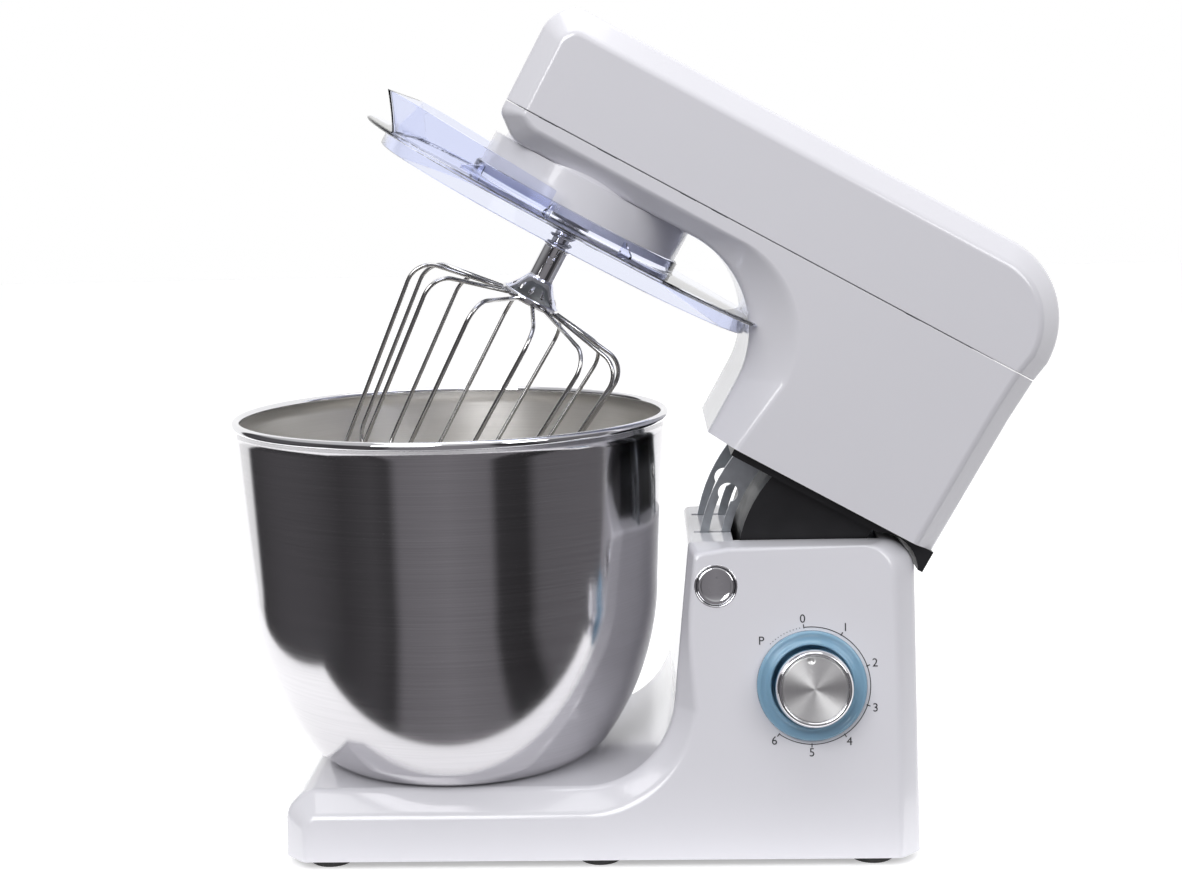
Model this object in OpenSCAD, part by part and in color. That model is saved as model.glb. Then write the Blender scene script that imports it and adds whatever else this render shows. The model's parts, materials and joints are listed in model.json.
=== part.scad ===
// Tilt-head stand mixer. Millimetres, +Z up, origin on the bench under the middle of the whole mixer.
// +X runs from the bowl to the hinge, -Y is the side with the speed knob.
// The head is modelled level, as if lowered on the bowl, and raised() turns it about the hinge.

/* [Bowl] */
// Outer diameter over the rolled rim
bowl_rim_d = 240; // [200:1:256]
// Height of the middle of the rolled rim above the bench
bowl_rim_z = 228; // [190:1:240]
// Diameter of the rolled rim bead
rim_bead_d = 4.6; // [3:0.1:7]
// Sheet thickness of the bowl
bowl_wall = 1; // [0.6:0.1:2]
// Radius of the curve of the bowl's side, seen from the side
bowl_side_r = 156; // [130:1:190]
// Diameter of the flat under the bowl
bowl_flat_d = 140; // [124:1:150]
// Diameter of the twist-lock ring under the bowl
bowl_lock_d = 104; // [90:1:110]

/* [Base] */
// Length from the bowl's axis to the front end of the base
base_front = 86; // [80:1:100]
// Height of the deck that the bowl stands on
deck_z = 38.8; // [34:0.1:50]
// Half the width of the base at its bottom edge
base_half_w = 91.5; // [88:0.5:110]
// Height of the shell's bottom edge above the bench
base_gap = 5; // [4:0.5:8]
// Lean of the side walls from the vertical, in degrees
side_lean = 10.4; // [6:0.1:11]
// Width of the bevel along the edges of the base
base_bevel = 11; // [6:0.5:13]
// Wall of the plastic shells
wall = 2.5; // [2:0.1:3.5]
// Radius of the sweep from the deck up into the column
sweep_r = 48.5; // [40:0.5:56]
// Distance from the bowl's axis to the column's front, where the sweep ends
column_front = 120.9; // [119:0.1:130]
// Lean of the column's front face, in degrees
front_lean = 5.9; // [3:0.1:8]
// Diameter of a rubber foot
foot_d = 24.6; // [18:0.1:28]

/* [Hinge] */
// Distance from the bowl's axis to the hinge pin
reach = 229; // [222:1:250]
// Height of the column's top above the bench
column_top = 165; // [150:1:176]
// Angle of the raised head, in degrees
tilt = 29; // [20:0.5:32]
// Diameter of the hinge pin
hinge_pin_d = 10; // [6:0.5:14]
// Radius from the hinge pin to the latch pin
latch_r = 86.1; // [84:0.1:89]
// Diameter of the latch pin
latch_d = 6; // [4:0.5:7]

/* [Head] */
// Half the width of the head
head_half_w = 62; // [56:0.5:70]
// Height of the head's underside above the bench, with the head down
under_z = 257; // [254:0.5:270]
// Height of the head's body above its underside
head_h = 75; // [66:0.5:90]
// Height of the seam above the underside
seam_h = 16.5; // [14:0.5:24]
// Distance from the bowl's axis to the head's nose
nose = 57.5; // [54:0.5:80]
// Width of the bevel along the edges of the head
head_bevel = 12; // [6:0.5:14]
// Height of the neck's lower edge above the column's top
neck_gap = 6; // [5:0.5:8]

/* [Controls] */
// Distance from the bowl's axis to the speed knob's axis
knob_x = 192; // [186:1:200]
// Height of the speed knob's axis above the bench
knob_z = 93; // [84:1:98]
// Diameter of the speed knob
knob_d = 40; // [30:1:44]
// How far the speed knob stands out of the side wall
knob_out = 20; // [14:1:26]
// Outer diameter of the light ring
ring_d = 57; // [50:1:60]
// Diameter of the release button
button_d = 20.8; // [16:0.1:22]
// Travel of the release button
button_travel = 4; // [2:0.5:5]

/* [Drive] */
// Distance from the planetary axis to the tool's axis
orbit_r = 21; // [21:7:28]
// Module of the planetary teeth
planet_module = 1.4; // [1.4:0.1:1.4]
// Outer diameter of the round gear housing under the head
drum_d = 118; // [114:1:120]
// Module of the main gear's teeth
main_module = 1.5; // [1.3:0.1:1.5]
// Diameter of the main shaft
main_shaft_d = 12; // [8:1:14]
// Outer diameter of the motor
motor_d = 74; // [66:1:78]

/* [Tool] */
// Diameter of the tool shaft
tool_shaft_d = 10; // [8:0.5:11]
// Radius of the whisk at its shoulders
whisk_r = 64; // [50:1:66]
// Diameter of the whisk's wire
wire_d = 2.3; // [1.6:0.1:3]
// Height of the whisk's lowest wire above the bench, with the head down
whisk_low = 50; // [47:1:70]
// Number of wire loops in the whisk
loops = 6; // [3:1:6]

/* [Splash guard] */
// Outer diameter of the guard's flange
guard_d = 246; // [244:1:252]
// Thickness of the guard's plastic
guard_t = 2; // [1.5:0.1:2.5]
// Height of the pouring chute above the flange
chute_h = 20; // [12:1:22]

/* [Hidden] */
$fn = 48;
// Clearances
run_fit = 0.05;     // round running fit, on the radius
slide_fit = 0.25;   // hand-moved piece in its opening
gap = 0.4;          // parts that pass each other
assembly_fit = 0.15; // fixed pieces that drop into each other
eps = 0.01;

bowl_x = -100;      // the bowl's axis, so that the origin is under the middle of the whole mixer
hinge_x = bowl_x + reach;
hinge_drop = 16;    // hinge pin below the column's top
hinge_z = column_top - hinge_drop;
corner_off = 3;     // the rounded rear corner is this far behind the pin
rear_x = hinge_x + corner_off + hinge_drop;

// ---------------------------------------------------------------- helpers

function arc(cx, cz, r, a0, a1, n) =
    [for (k = [0:n]) let (a = a0 + (a1 - a0) * k / n) [cx + r * cos(a), cz + r * sin(a)]];

// Solid between an outer outline in the XZ plane and the same outline drawn in by a bevel at
// each side wall. Both outlines have the same number of points. y_of(z) is the side wall.
module bevelled(outer, inner, outer_y, inner_y) {
    n = len(outer);
    points = concat(
        [for (k = [0:n - 1]) [inner[k][0], -inner_y[k], inner[k][1]]],
        [for (k = [0:n - 1]) [outer[k][0], -outer_y[k], outer[k][1]]],
        [for (k = [0:n - 1]) [outer[k][0], outer_y[k], outer[k][1]]],
        [for (k = [0:n - 1]) [inner[k][0], inner_y[k], inner[k][1]]]);
    bands = [for (b = [0:2]) for (k = [0:n - 1]) each let (m = (k + 1) % n)
        [[b * n + k, (b + 1) * n + k, (b + 1) * n + m], [b * n + k, (b + 1) * n + m, b * n + m]]];
    caps = [[for (k = [0:n - 1]) k], [for (k = [n - 1:-1:0]) 3 * n + k]];
    polyhedron(points, concat(bands, caps), convexity = 6);
}

// Splits a polygon, concave or not, into triangles by cutting off one ear at a time. q lists the
// points of p in order, and s is the sign of the polygon's area.
function turn(a, b, c) = (b[0] - a[0]) * (c[1] - a[1]) - (b[1] - a[1]) * (c[0] - a[0]);
function is_ear(p, q, j, s) = let (n = len(q), i = q[(j + n - 1) % n], m = q[(j + 1) % n],
        a = p[i], b = p[q[j]], c = p[m])
    s * turn(a, b, c) > 1e-6 && len([for (k = q) let (v = p[k])
        if (k != i && k != q[j] && k != m && s * turn(a, b, v) > -1e-9 && s * turn(b, c, v) > -1e-9
            && s * turn(c, a, v) > -1e-9) k]) == 0;
function ears(p, q, s) = let (n = len(q)) n == 3 ? [q] :
    let (j = [for (j = [0:n - 1]) if (is_ear(p, q, j, s)) j][0])
    concat([[q[(j + n - 1) % n], q[j], q[(j + 1) % n]]], ears(p, [for (k = [0:n - 1]) if (k != j) q[k]], s));
function area_sign(p) = let (n = len(p), a = [for (k = [0:n - 1]) let (b = p[(k + 1) % n]) p[k][0] * b[1] - b[0] * p[k][1]])
    a * [for (k = [0:n - 1]) 1] > 0 ? 1 : -1;

// The same solid hollowed to a wall. It is open where the outlines run from point k to k + 1, for
// each k in gaps, and there both outlines share one height.
module bevelled_shell(outer, inner, outer_y, inner_y,
        hollow_outer, hollow_inner, hollow_outer_y, hollow_inner_y, gaps) {
    n = len(outer);
    function rows(o, i, oy, iy) = concat(
        [for (k = [0:n - 1]) [i[k][0], -iy[k], i[k][1]]], [for (k = [0:n - 1]) [o[k][0], -oy[k], o[k][1]]],
        [for (k = [0:n - 1]) [o[k][0], oy[k], o[k][1]]], [for (k = [0:n - 1]) [i[k][0], iy[k], i[k][1]]]);
    function side(o) = let (t = ears(o, [for (k = [0:n - 1]) k], area_sign(o)))
        concat(t, [for (f = t) [f[2] + 3 * n, f[1] + 3 * n, f[0] + 3 * n]]);
    bands = [for (b = [0:2]) for (k = [0:n - 1]) if (len(search(k, gaps)) == 0) each let (m = (k + 1) % n)
        [[b * n + k, (b + 1) * n + k, (b + 1) * n + m], [b * n + k, (b + 1) * n + m, b * n + m]]];
    skin = concat(bands, side(inner));
    rim = [for (k = gaps) each let (m = (k + 1) % n,
        edge = concat([for (b = [0:3]) b * n + k], [for (b = [3:-1:0]) b * n + m]))
        [for (j = [0:7]) [edge[j], edge[(j + 1) % 8], edge[(j + 1) % 8] + 4 * n, edge[j] + 4 * n]]];
    inside = [for (f = concat(bands, side(hollow_inner))) [f[2] + 4 * n, f[1] + 4 * n, f[0] + 4 * n]];
    polyhedron(concat(rows(outer, inner, outer_y, inner_y),
        rows(hollow_outer, hollow_inner, hollow_outer_y, hollow_inner_y)), concat(skin, inside, rim), convexity = 8);
}

module along_y(y0, y1, x, z, r) {
    translate([x, y0, z]) rotate([-90, 0, 0]) cylinder(h = y1 - y0, r = r);
}

// Extrudes an XZ outline from y0 to y1
module plate_xz(points, y0, y1) {
    translate([0, y1, 0]) rotate([90, 0, 0]) linear_extrude(y1 - y0) polygon(points);
}

module raised() {
    translate([hinge_x, 0, hinge_z]) rotate([0, tilt, 0]) translate([-hinge_x, 0, -hinge_z]) children();
}

module ring(r_out, r_in, z0, z1) {
    translate([0, 0, z0]) difference() {
        cylinder(h = z1 - z0, r = r_out);
        translate([0, 0, -1]) cylinder(h = z1 - z0 + 2, r = r_in);
    }
}

// Straight-sided teeth, thinner than half the pitch for backlash
function gear_points(teeth, m, tip, root, width) = let (rp = teeth * m / 2, p = 360 / teeth)
    [for (k = [0:teeth - 1]) each [
        let (a = p * (k - width * 0.78)) [(rp - root) * cos(a), (rp - root) * sin(a)],
        let (a = p * (k - width * 0.26)) [(rp + tip) * cos(a), (rp + tip) * sin(a)],
        let (a = p * (k + width * 0.26)) [(rp + tip) * cos(a), (rp + tip) * sin(a)],
        let (a = p * (k + width * 0.78)) [(rp - root) * cos(a), (rp - root) * sin(a)]]];

// Helical spring along +Z from z = 0
module coil(r, wire, h, turns) {
    per = 14;
    sides = 6;
    n = turns * per;
    points = [for (k = [0:n]) for (s = [0:sides - 1])
        let (a = 360 * k / per, b = 360 * s / sides, q = r + wire / 2 * cos(b))
        [q * cos(a), q * sin(a), wire / 2 + (h - wire) * k / n + wire / 2 * sin(b)]];
    sweep = [for (k = [0:n - 1]) for (s = [0:sides - 1]) let (t = (s + 1) % sides)
        [k * sides + t, (k + 1) * sides + t, (k + 1) * sides + s, k * sides + s]];
    caps = [[for (s = [sides - 1:-1:0]) s], [for (s = [0:sides - 1]) n * sides + s]];
    polyhedron(points, concat(sweep, caps), convexity = 10);
}

// ---------------------------------------------------------------- base shape

function side_y(z) = base_half_w - (z - base_gap) * tan(side_lean);
front_chamfer = 10;
crease_top = 3;     // the column's front bevel is this wide above narrow_z
narrow_z = column_top - 43;
sweep_x = bowl_x + column_front - sweep_r;
sweep_z = deck_z + sweep_r;
front_top_x = sweep_x + sweep_r * cos(front_lean) + (column_top - sweep_z + sweep_r * sin(front_lean)) * tan(front_lean);

// d is how far the outline is drawn in at the side wall, w is the wall left outside it
function base_outline(d, w, bottom) = let (t = d + w, c = front_chamfer - t / 2) concat(
    [[bowl_x - base_front + t, bottom],
     [bowl_x - base_front + t, deck_z - t - c],
     [bowl_x - base_front + t + c, deck_z - t]],
    arc(sweep_x, sweep_z, sweep_r + t, -90, -front_lean, 12),
    [for (z = [narrow_z, column_top - w])
        [front_top_x - (column_top - z) * tan(front_lean) + crease_top * d / base_bevel + w, z]],
    arc(rear_x - d - hinge_drop, hinge_z, hinge_drop - w, 90, 0, 6),
    [[rear_x - d - w, bottom]]);

function base_rows(d, w) = [for (p = base_outline(d, w, base_gap)) side_y(p[1]) - (d > 0 ? w : base_bevel + w / 2)];

module base_walls() {
    bevelled_shell(base_outline(0, 0, base_gap), base_outline(base_bevel, 0, base_gap),
        base_rows(0, 0), base_rows(base_bevel, 0),
        base_outline(0, wall, base_gap), base_outline(base_bevel, wall, base_gap),
        base_rows(0, wall), base_rows(base_bevel, wall), [len(base_outline(0, 0, base_gap)) - 1]);
}

// Turns +Z into the outward normal of the knob's side wall, at a point on that wall
module on_side(x, z) {
    translate([bowl_x + x, -side_y(z), z]) rotate([90 - side_lean, 0, 0]) children();
}

// ---------------------------------------------------------------- hinge and latch places

latch_angle = 183.1;      // of the latch pin about the hinge pin
latch_x = hinge_x + latch_r * cos(latch_angle);
latch_z = hinge_z + latch_r * sin(latch_angle);
arm_y = 25;               // middle of each sector arm, either side of the middle
arm_t = 2.5;
arm_half = 8;             // half the width of an arm
neck_z = column_top + neck_gap;
plate_z = column_top + 1.5;
plate_y = 55;
shroud_r = latch_r - arm_half - 4;
shroud_y = 46.5;
shroud_t = 2;
shroud_end = 183.1 + tilt;
corner_clear = 1.5;

// ---------------------------------------------------------------- base pieces

opening_y = shroud_y + 2;
seat_r = bowl_lock_d / 2 + 8;
lug_h = 2.4;
lug_out = 5.2;
lock_h = 6.6;
seat_depth = 10;
lug_angle = 40;           // of each lug from its entry gap, when locked
knob_shaft_d = 6;
bezel_t = 0.9;
gland_z = 24;
post_x = [bowl_x - base_front + 37, bowl_x + 20];
post_y = 64;
pedestal_x = [hinge_x - 19, hinge_x + 7];
screw_d = 3;
post_r = 4.2;

module base_shell() {
    color("white") difference() {
        union() {
            base_walls();
            for (x = post_x, s = [-1, 1]) translate([x, s * post_y, base_gap + wall + assembly_fit])
                cylinder(h = deck_z - base_gap - wall - 2, r = post_r);
        }
        for (x = post_x, s = [-1, 1]) translate([x, s * post_y, 0]) cylinder(h = base_gap + 16, r = screw_d / 2 - 0.2);
        // pocket of the bowl's seat
        translate([bowl_x, 0, deck_z - seat_depth - 4]) cylinder(h = seat_depth + 10, r = seat_r + assembly_fit);
        // opening for the neck's shroud, and a slot for each sector arm
        translate([hinge_x - shroud_r - 2, -opening_y, column_top - 12])
            cube([shroud_r + 3, 2 * opening_y, 20]);
        for (s = [-1, 1]) translate([hinge_x - latch_r - arm_half - 2, s * arm_y - arm_t / 2 - 1, column_top - 12])
            cube([2 * arm_half + 8, arm_t + 2, 20]);
        on_side(knob_x, knob_z) translate([0, 0, -12]) cylinder(h = 24, r = ring_d / 2 + assembly_fit);
        along_y(-base_half_w, -side_y(latch_z) + 14, latch_x, latch_z, button_d / 2 + slide_fit + bezel_t + assembly_fit);
        translate([rear_x - 8, 0, gland_z]) rotate([0, 90, 0]) cylinder(h = 20, r = 6 + assembly_fit);
    }
}

module bottom_plate() {
    x0 = bowl_x - base_front + wall + 1;
    x1 = rear_x - wall - 1;
    y1 = side_y(base_gap) - wall - 1;
    c = base_bevel;
    color([0.2, 0.2, 0.2]) difference() {
        translate([0, 0, base_gap]) linear_extrude(wall) polygon([[x0, -y1 + c], [x0 + c, -y1], [x1 - c, -y1],
            [x1, -y1 + c], [x1, y1 - c], [x1 - c, y1], [x0 + c, y1], [x0, y1 - c]]);
        for (x = foot_x, s = [-1, 1]) translate([x, s * foot_y, 0]) cylinder(h = 20, r = foot_stem_r + assembly_fit);
        for (x = post_x, s = [-1, 1]) translate([x, s * post_y, 0]) cylinder(h = 20, r = screw_d / 2 + assembly_fit);
        for (x = pedestal_x, s = [-1, 1]) translate([x, s * 28, 0]) cylinder(h = 20, r = screw_d / 2 + assembly_fit);
        // air slots under the column
        for (k = [0:7]) translate([bowl_x + 140 + 9 * k, -24, 0]) cube([3.5, 48, 20]);
    }
}

foot_x = [bowl_x - base_front + 23.6, bowl_x + 80.4, bowl_x + reach - 5.8];
foot_y = base_half_w - 16.8;
foot_stem_r = 4;

module feet() {
    color([0.08, 0.08, 0.08]) for (x = foot_x, s = [-1, 1]) translate([x, s * foot_y, 0]) difference() {
        union() {
            cylinder(h = base_gap, r = foot_d / 2);
            cylinder(h = base_gap + wall + 1.5, r = foot_stem_r);
        }
        translate([0, 0, -1]) cylinder(h = 2.5, r = foot_d / 2 - 4);
    }
}

module base_screws() {
    color("silver") {
        for (x = post_x, s = [-1, 1]) translate([x, s * post_y, base_gap - 2]) {
            cylinder(h = 2, r = screw_d);
            cylinder(h = 14, r = screw_d / 2 - 0.2);
        }
        for (x = pedestal_x, s = [-1, 1]) translate([x, s * 28, base_gap - 2]) {
            cylinder(h = 2, r = screw_d);
            cylinder(h = 6, r = screw_d / 2 - 0.2);
        }
    }
}

module bowl_seat() {
    z0 = deck_z - seat_depth - 2;
    hook_z = deck_z - 1.8;
    color([0.85, 0.85, 0.87]) translate([bowl_x, 0, 0]) {
        difference() {
            translate([0, 0, z0]) cylinder(h = deck_z - z0 - 0.2, r = seat_r);
            translate([0, 0, z0 + 2]) cylinder(h = seat_depth + 5, r = bowl_lock_d / 2 + lug_out + gap);
        }
        // three hooks over the bowl's lugs, with an entry gap between them
        for (k = [0:2]) rotate([0, 0, 120 * k + 24]) rotate_extrude(angle = 72)
            translate([bowl_lock_d / 2 + gap, hook_z]) square([7 - gap, 1.4]);
        // a stop for each lug
        for (k = [0:2]) rotate([0, 0, 120 * k + lug_angle + 15.5]) rotate_extrude(angle = 8)
            translate([bowl_lock_d / 2 + gap, z0 + 1.5]) square([7 - gap, hook_z - z0 - 0.9]);
    }
}

module hinge_pedestal() {
    color([0.6, 0.62, 0.65]) {
        difference() {
            translate([hinge_x - 24, -38, base_gap + wall]) cube([36, 76, 3.5]);
            for (x = pedestal_x, s = [-1, 1]) translate([x, s * 28, 0]) cylinder(h = 30, r = screw_d / 2 - 0.2);
        }
        for (s = [-1, 1]) translate([0, s * 36.5, 0]) difference() {
            union() {
                translate([hinge_x - 12, -1.5, base_gap + wall]) cube([22, 3, hinge_z - base_gap - wall - 9]);
                along_y(-1.5, 1.5, hinge_x, hinge_z, 10.5);
            }
            along_y(-5, 5, hinge_x, hinge_z, hinge_pin_d / 2 + assembly_fit);
        }
    }
}

module hinge_pin() {
    color("silver") {
        along_y(-40, 40, hinge_x, hinge_z, hinge_pin_d / 2);
        along_y(-42, -40 + eps, hinge_x, hinge_z, hinge_pin_d / 2 + 2.5);
        along_y(40 - eps, 42, hinge_x, hinge_z, hinge_pin_d / 2 + 2.5);
    }
}

module latch_guide() {
    x0 = front_top_x + wall + 1.2;
    color([0.6, 0.62, 0.65]) difference() {
        union() {
            translate([x0, -40, latch_z - 7]) cube([1.6, 77, 14]);
            for (y = [-40, 34]) translate([x0, y, latch_z - 7]) cube([latch_x - x0 + 7, 3, 14]);
        }
        along_y(-60, 60, latch_x, latch_z, latch_d / 2 + run_fit);
    }
}

module speed_switch() {
    color([0.15, 0.15, 0.16]) on_side(knob_x, knob_z) difference() {
        translate([-16, -16, -32]) cube([32, 32, 14]);
        translate([0, 0, -26]) cylinder(h = 20, r = knob_shaft_d / 2 + run_fit);
    }
}

module control_board() {
    color([0.1, 0.35, 0.2]) on_side(knob_x, knob_z) {
        translate([-36, -36, -34.1]) cube([58, 44, 1.6]);
        for (k = [0:2]) translate([-28 + 20 * k, -25, -43]) cylinder(h = 9, r = 5);
    }
}

module light_ring() {
    inner = knob_d / 2 + 1;
    color([0.5, 0.75, 0.95]) on_side(knob_x, knob_z) {
        ring(ring_d / 2, inner, -4, 2);
        ring(ring_d / 2 - 2.5, inner, 2 - eps, 3.6);
        ring(ring_d / 2, knob_shaft_d / 2 + 1, -6, -4 + eps);
    }
}

module dial_scale() {
    r = ring_d / 2 + 2;
    color([0.1, 0.1, 0.1]) on_side(knob_x, knob_z) {
        rotate([0, 0, -127]) rotate_extrude(angle = 222) translate([r, 0]) square([0.7, 0.2]);
        for (a = [95, 58, 20, -18, -55, -90, -127]) rotate([0, 0, a]) translate([r - 0.6, -0.5, 0]) cube([2.4, 1, 0.2]);
    }
}

module button_bezel() {
    r = button_d / 2 + slide_fit;
    color([0.9, 0.9, 0.92]) difference() {
        along_y(-base_half_w, -side_y(latch_z) + 12, latch_x, latch_z, r + bezel_t);
        along_y(-base_half_w - 1, -side_y(latch_z) + 14, latch_x, latch_z, r);
        on_side(latch_x - bowl_x, latch_z) translate([-30, -30, 0.3]) cube([60, 60, 60]);
    }
}

module cord_gland() {
    color([0.12, 0.12, 0.12]) translate([rear_x, 0, gland_z]) rotate([0, 90, 0]) difference() {
        union() {
            translate([0, 0, -6]) cylinder(h = 9, r = 6);
            cylinder(h = 2, r = 8.5);
            translate([0, 0, -6]) cylinder(h = 3, r = 8);
        }
        translate([0, 0, -8]) cylinder(h = 20, r = 3.6);
    }
}

// ---------------------------------------------------------------- moving pieces on the base

module speed_knob() {
    color("silver") on_side(knob_x, knob_z) difference() {
        union() {
            translate([0, 0, -3]) cylinder(h = knob_out + 2, r = knob_d / 2);
            translate([0, 0, -25]) cylinder(h = 24, r = knob_shaft_d / 2);
        }
        translate([0, 0, knob_out - 2]) cylinder(h = 2, r = knob_d / 2 - 1.2);
    }
}

module knob_cap() {
    r = knob_d / 2 - 1.2 - assembly_fit;
    color([0.8, 0.8, 0.8]) on_side(knob_x, knob_z) difference() {
        translate([0, 0, knob_out - 2]) cylinder(h = 1.6, r = r);
        rotate([0, 0, 95]) translate([r - 4.5, 0, knob_out + 0.4]) sphere(r = 1.6);
    }
}

button_y0 = -side_y(latch_z) + 0.6;     // where the button's axis meets its face
button_end = button_y0 + 10;

module release_button() {
    color([0.85, 0.85, 0.88]) difference() {
        union() {
            along_y(-base_half_w, button_end, latch_x, latch_z, button_d / 2);
            along_y(button_end - eps, button_end + 3, latch_x, latch_z, 5);
        }
        on_side(latch_x - bowl_x, latch_z) translate([-30, -30, -0.6]) cube([60, 60, 60]);
        along_y(button_end - 4, button_end + 8, latch_x, latch_z, latch_d / 2 + assembly_fit);
    }
}

module latch_pin() {
    collar_r = latch_d / 2 + 2;
    color("silver") {
        along_y(button_end - 3.5, 37, latch_x, latch_z, latch_d / 2);
        for (s = [-1, 1]) let (y = s * arm_y + arm_t / 2 + gap)
            along_y(y, y + 2.4, latch_x, latch_z, collar_r);
    }
}

module button_spring() {
    color("silver") translate([latch_x, -40.2, latch_z]) rotate([90, 0, 0])
        coil(latch_d / 2 + 1.2, 0.9, -40.2 - button_end - 3.2, 5);
}

// Bowl: the side is one arc that runs into a small corner arc above the flat
corner_r = 12;
bowl_r = bowl_rim_d / 2 - rim_bead_d / 2;
bowl_z0 = deck_z + gap;
side_top_z = bowl_z0 + 98;
side_cx = bowl_r - 4.5 - bowl_side_r;
function bowl_profile(t) =      // t is how far inside the outer surface
    let (cx = bowl_flat_d / 2, r = corner_r,
         // the corner arc touches the side arc from inside
         cz = bowl_z0 + r,
         a = atan2(cz - side_top_z, cx + 4 - side_cx))
    concat([[cx - 6, bowl_z0 + t]],
        arc(cx, cz, r - t, -90, a - 4, 5),
        arc(side_cx, side_top_z, bowl_side_r - t, a + 1.5, 0, 14),
        [[bowl_r - t, bowl_rim_z]]);

module bowl() {
    outer = bowl_profile(0);
    inner = bowl_profile(bowl_wall);
    n = len(outer);
    color("silver") translate([bowl_x, 0, 0]) {
        rotate_extrude($fn = 96) polygon(concat([[0, bowl_z0]], outer,
            [for (k = [n - 1:-1:0]) inner[k]], [[0, bowl_z0 + bowl_wall]]));
        rotate_extrude($fn = 96) translate([bowl_r, bowl_rim_z]) circle(r = rim_bead_d / 2, $fn = 24);
    }
}

module bowl_foot() {
    r = bowl_lock_d / 2;
    z0 = bowl_z0 - lock_h;
    color([0.7, 0.7, 0.72]) translate([bowl_x, 0, 0]) {
        ring(r, r - 3, z0, bowl_z0);
        for (k = [0:2]) rotate([0, 0, 120 * k + lug_angle - 15]) rotate_extrude(angle = 30)
            translate([r - 1, z0]) square([lug_out + 1, lug_h]);
    }
}

// ---------------------------------------------------------------- head shape

top_z = under_z + head_h;
seam_z = under_z + seam_h;
seam_gap = 0.5;
nose_x = bowl_x - nose;
neck_arc_r = 55;
neck_front = bowl_x + 115.3;        // neck's front face
neck_bevel_x = 21.5;                // the bevel is wider along the neck's front
tail_x = hinge_x + 24.5;            // rearmost point of the head
tail_r = 47;
tail_z = top_z - tail_r;
neck_rear = hinge_x + 20.5;
scoop_r = guard_d / 2 + 1.5;
scoop_top = bowl_rim_z + 11;

// Outlines of the two halves of the head, drawn in by the bevel where d is 1, and by w all round
tail_seam_x = tail_x - 2.6;         // rearmost point at the seam
function cover_outline(d, w) = let (t = head_bevel * d + w, z = seam_z + seam_gap) concat(
    [[nose_x + t, z], [nose_x + t, top_z - 12 - t / 2], [nose_x + 9.5 + 0.6 * t, top_z - t]],
    arc(tail_x - tail_r, tail_z, tail_r - t, 90, 0, 10),
    [[tail_seam_x + (tail_x - tail_seam_x) * (z - under_z) / (tail_z - under_z) - t, z]]);
function lower_outline(d, w) = let (t = head_bevel * d + w) concat(
    [[nose_x + t, under_z + 10 + t * 0.3], [nose_x + t, seam_z], [tail_seam_x + 1 - t, seam_z],
     [neck_rear - t, neck_z], [neck_front + w + 15.7 * d, neck_z]],
    arc(neck_front - neck_arc_r + neck_bevel_x * d, under_z - neck_arc_r + head_bevel * d * 0.8, neck_arc_r + w, 0, 90, 12),
    [[nose_x + 12.5 + 0.6 * t, under_z + w + head_bevel * d * 0.8]]);

module head_shell(outer, inner, hollow_outer, hollow_inner, gaps) {
    y0 = head_half_w - head_bevel;
    bevelled_shell(outer, inner, [for (p = outer) y0], [for (p = outer) head_half_w],
        hollow_outer, hollow_inner, [for (p = outer) y0 - wall / 2], [for (p = outer) head_half_w - wall], gaps);
}

module head_lower_shell() {
    color("white") raised() difference() {
        head_shell(lower_outline(0, 0), lower_outline(1, 0), lower_outline(0, wall), lower_outline(1, wall), [1, 3]);
        translate([bowl_x, 0, 0]) cylinder(h = scoop_top, r = scoop_r);
        translate([bowl_x, 0, under_z - 10]) cylinder(h = 30, r = drum_d / 2 - 6);
    }
}

module head_top_cover() {
    n = len(cover_outline(0, 0));
    color("white") raised()
        head_shell(cover_outline(0, 0), cover_outline(1, 0), cover_outline(0, wall), cover_outline(1, wall), [n - 1]);
}

module neck_plate() {
    r = hinge_drop + corner_off + corner_clear;
    lip = 29;               // the lip behind the column ends at this angle
    front = neck_front + 16;
    outline = concat(
        [[front, neck_z], [front, plate_z], [hinge_x - sqrt(r * r - pow(plate_z - hinge_z, 2)), plate_z]],
        arc(hinge_x, hinge_z, r, 180 - asin((plate_z - hinge_z) / r), lip, 10),
        [[neck_rear, hinge_z + r * sin(lip)], [neck_rear, neck_z]]);
    color([0.1, 0.1, 0.1]) raised() difference() {
        plate_xz(outline, -plate_y, plate_y);
        for (s = [-1, 1]) translate([hinge_x - latch_r - arm_half - 1, s * arm_y - arm_t / 2 - assembly_fit, plate_z - 5])
            cube([2 * arm_half + 21, arm_t + 2 * assembly_fit, 20]);
        for (s = [-1, 1]) translate([hinge_x - ear_front - 1, s * 30 - 2 - assembly_fit, plate_z - 12])
            cube([ear_front - 3, 4 + 2 * assembly_fit, 30]);
    }
}

module hinge_shroud() {
    top = plate_z - hinge_z;
    a0 = 180 - asin(top / shroud_r);
    a1 = shroud_end;
    back = -12;
    function sector(r, lift) = concat([[hinge_x + back, hinge_z + top + lift]],
        arc(hinge_x, hinge_z, r, 180 - asin(top / r), a1, 10), [[hinge_x + back, hinge_z + back * tan(a1)]]);
    color([0.1, 0.1, 0.1]) raised() difference() {
        plate_xz(sector(shroud_r, -eps), -shroud_y, shroud_y);
        plate_xz(concat([[hinge_x + back + 1, hinge_z + top + 1]],
            arc(hinge_x, hinge_z, shroud_r - shroud_t, a0 - 2, a1 + 8, 10),
            [[hinge_x + back + 1, hinge_z - 30]]), -shroud_y + shroud_t, shroud_y - shroud_t);
    }
}

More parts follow.
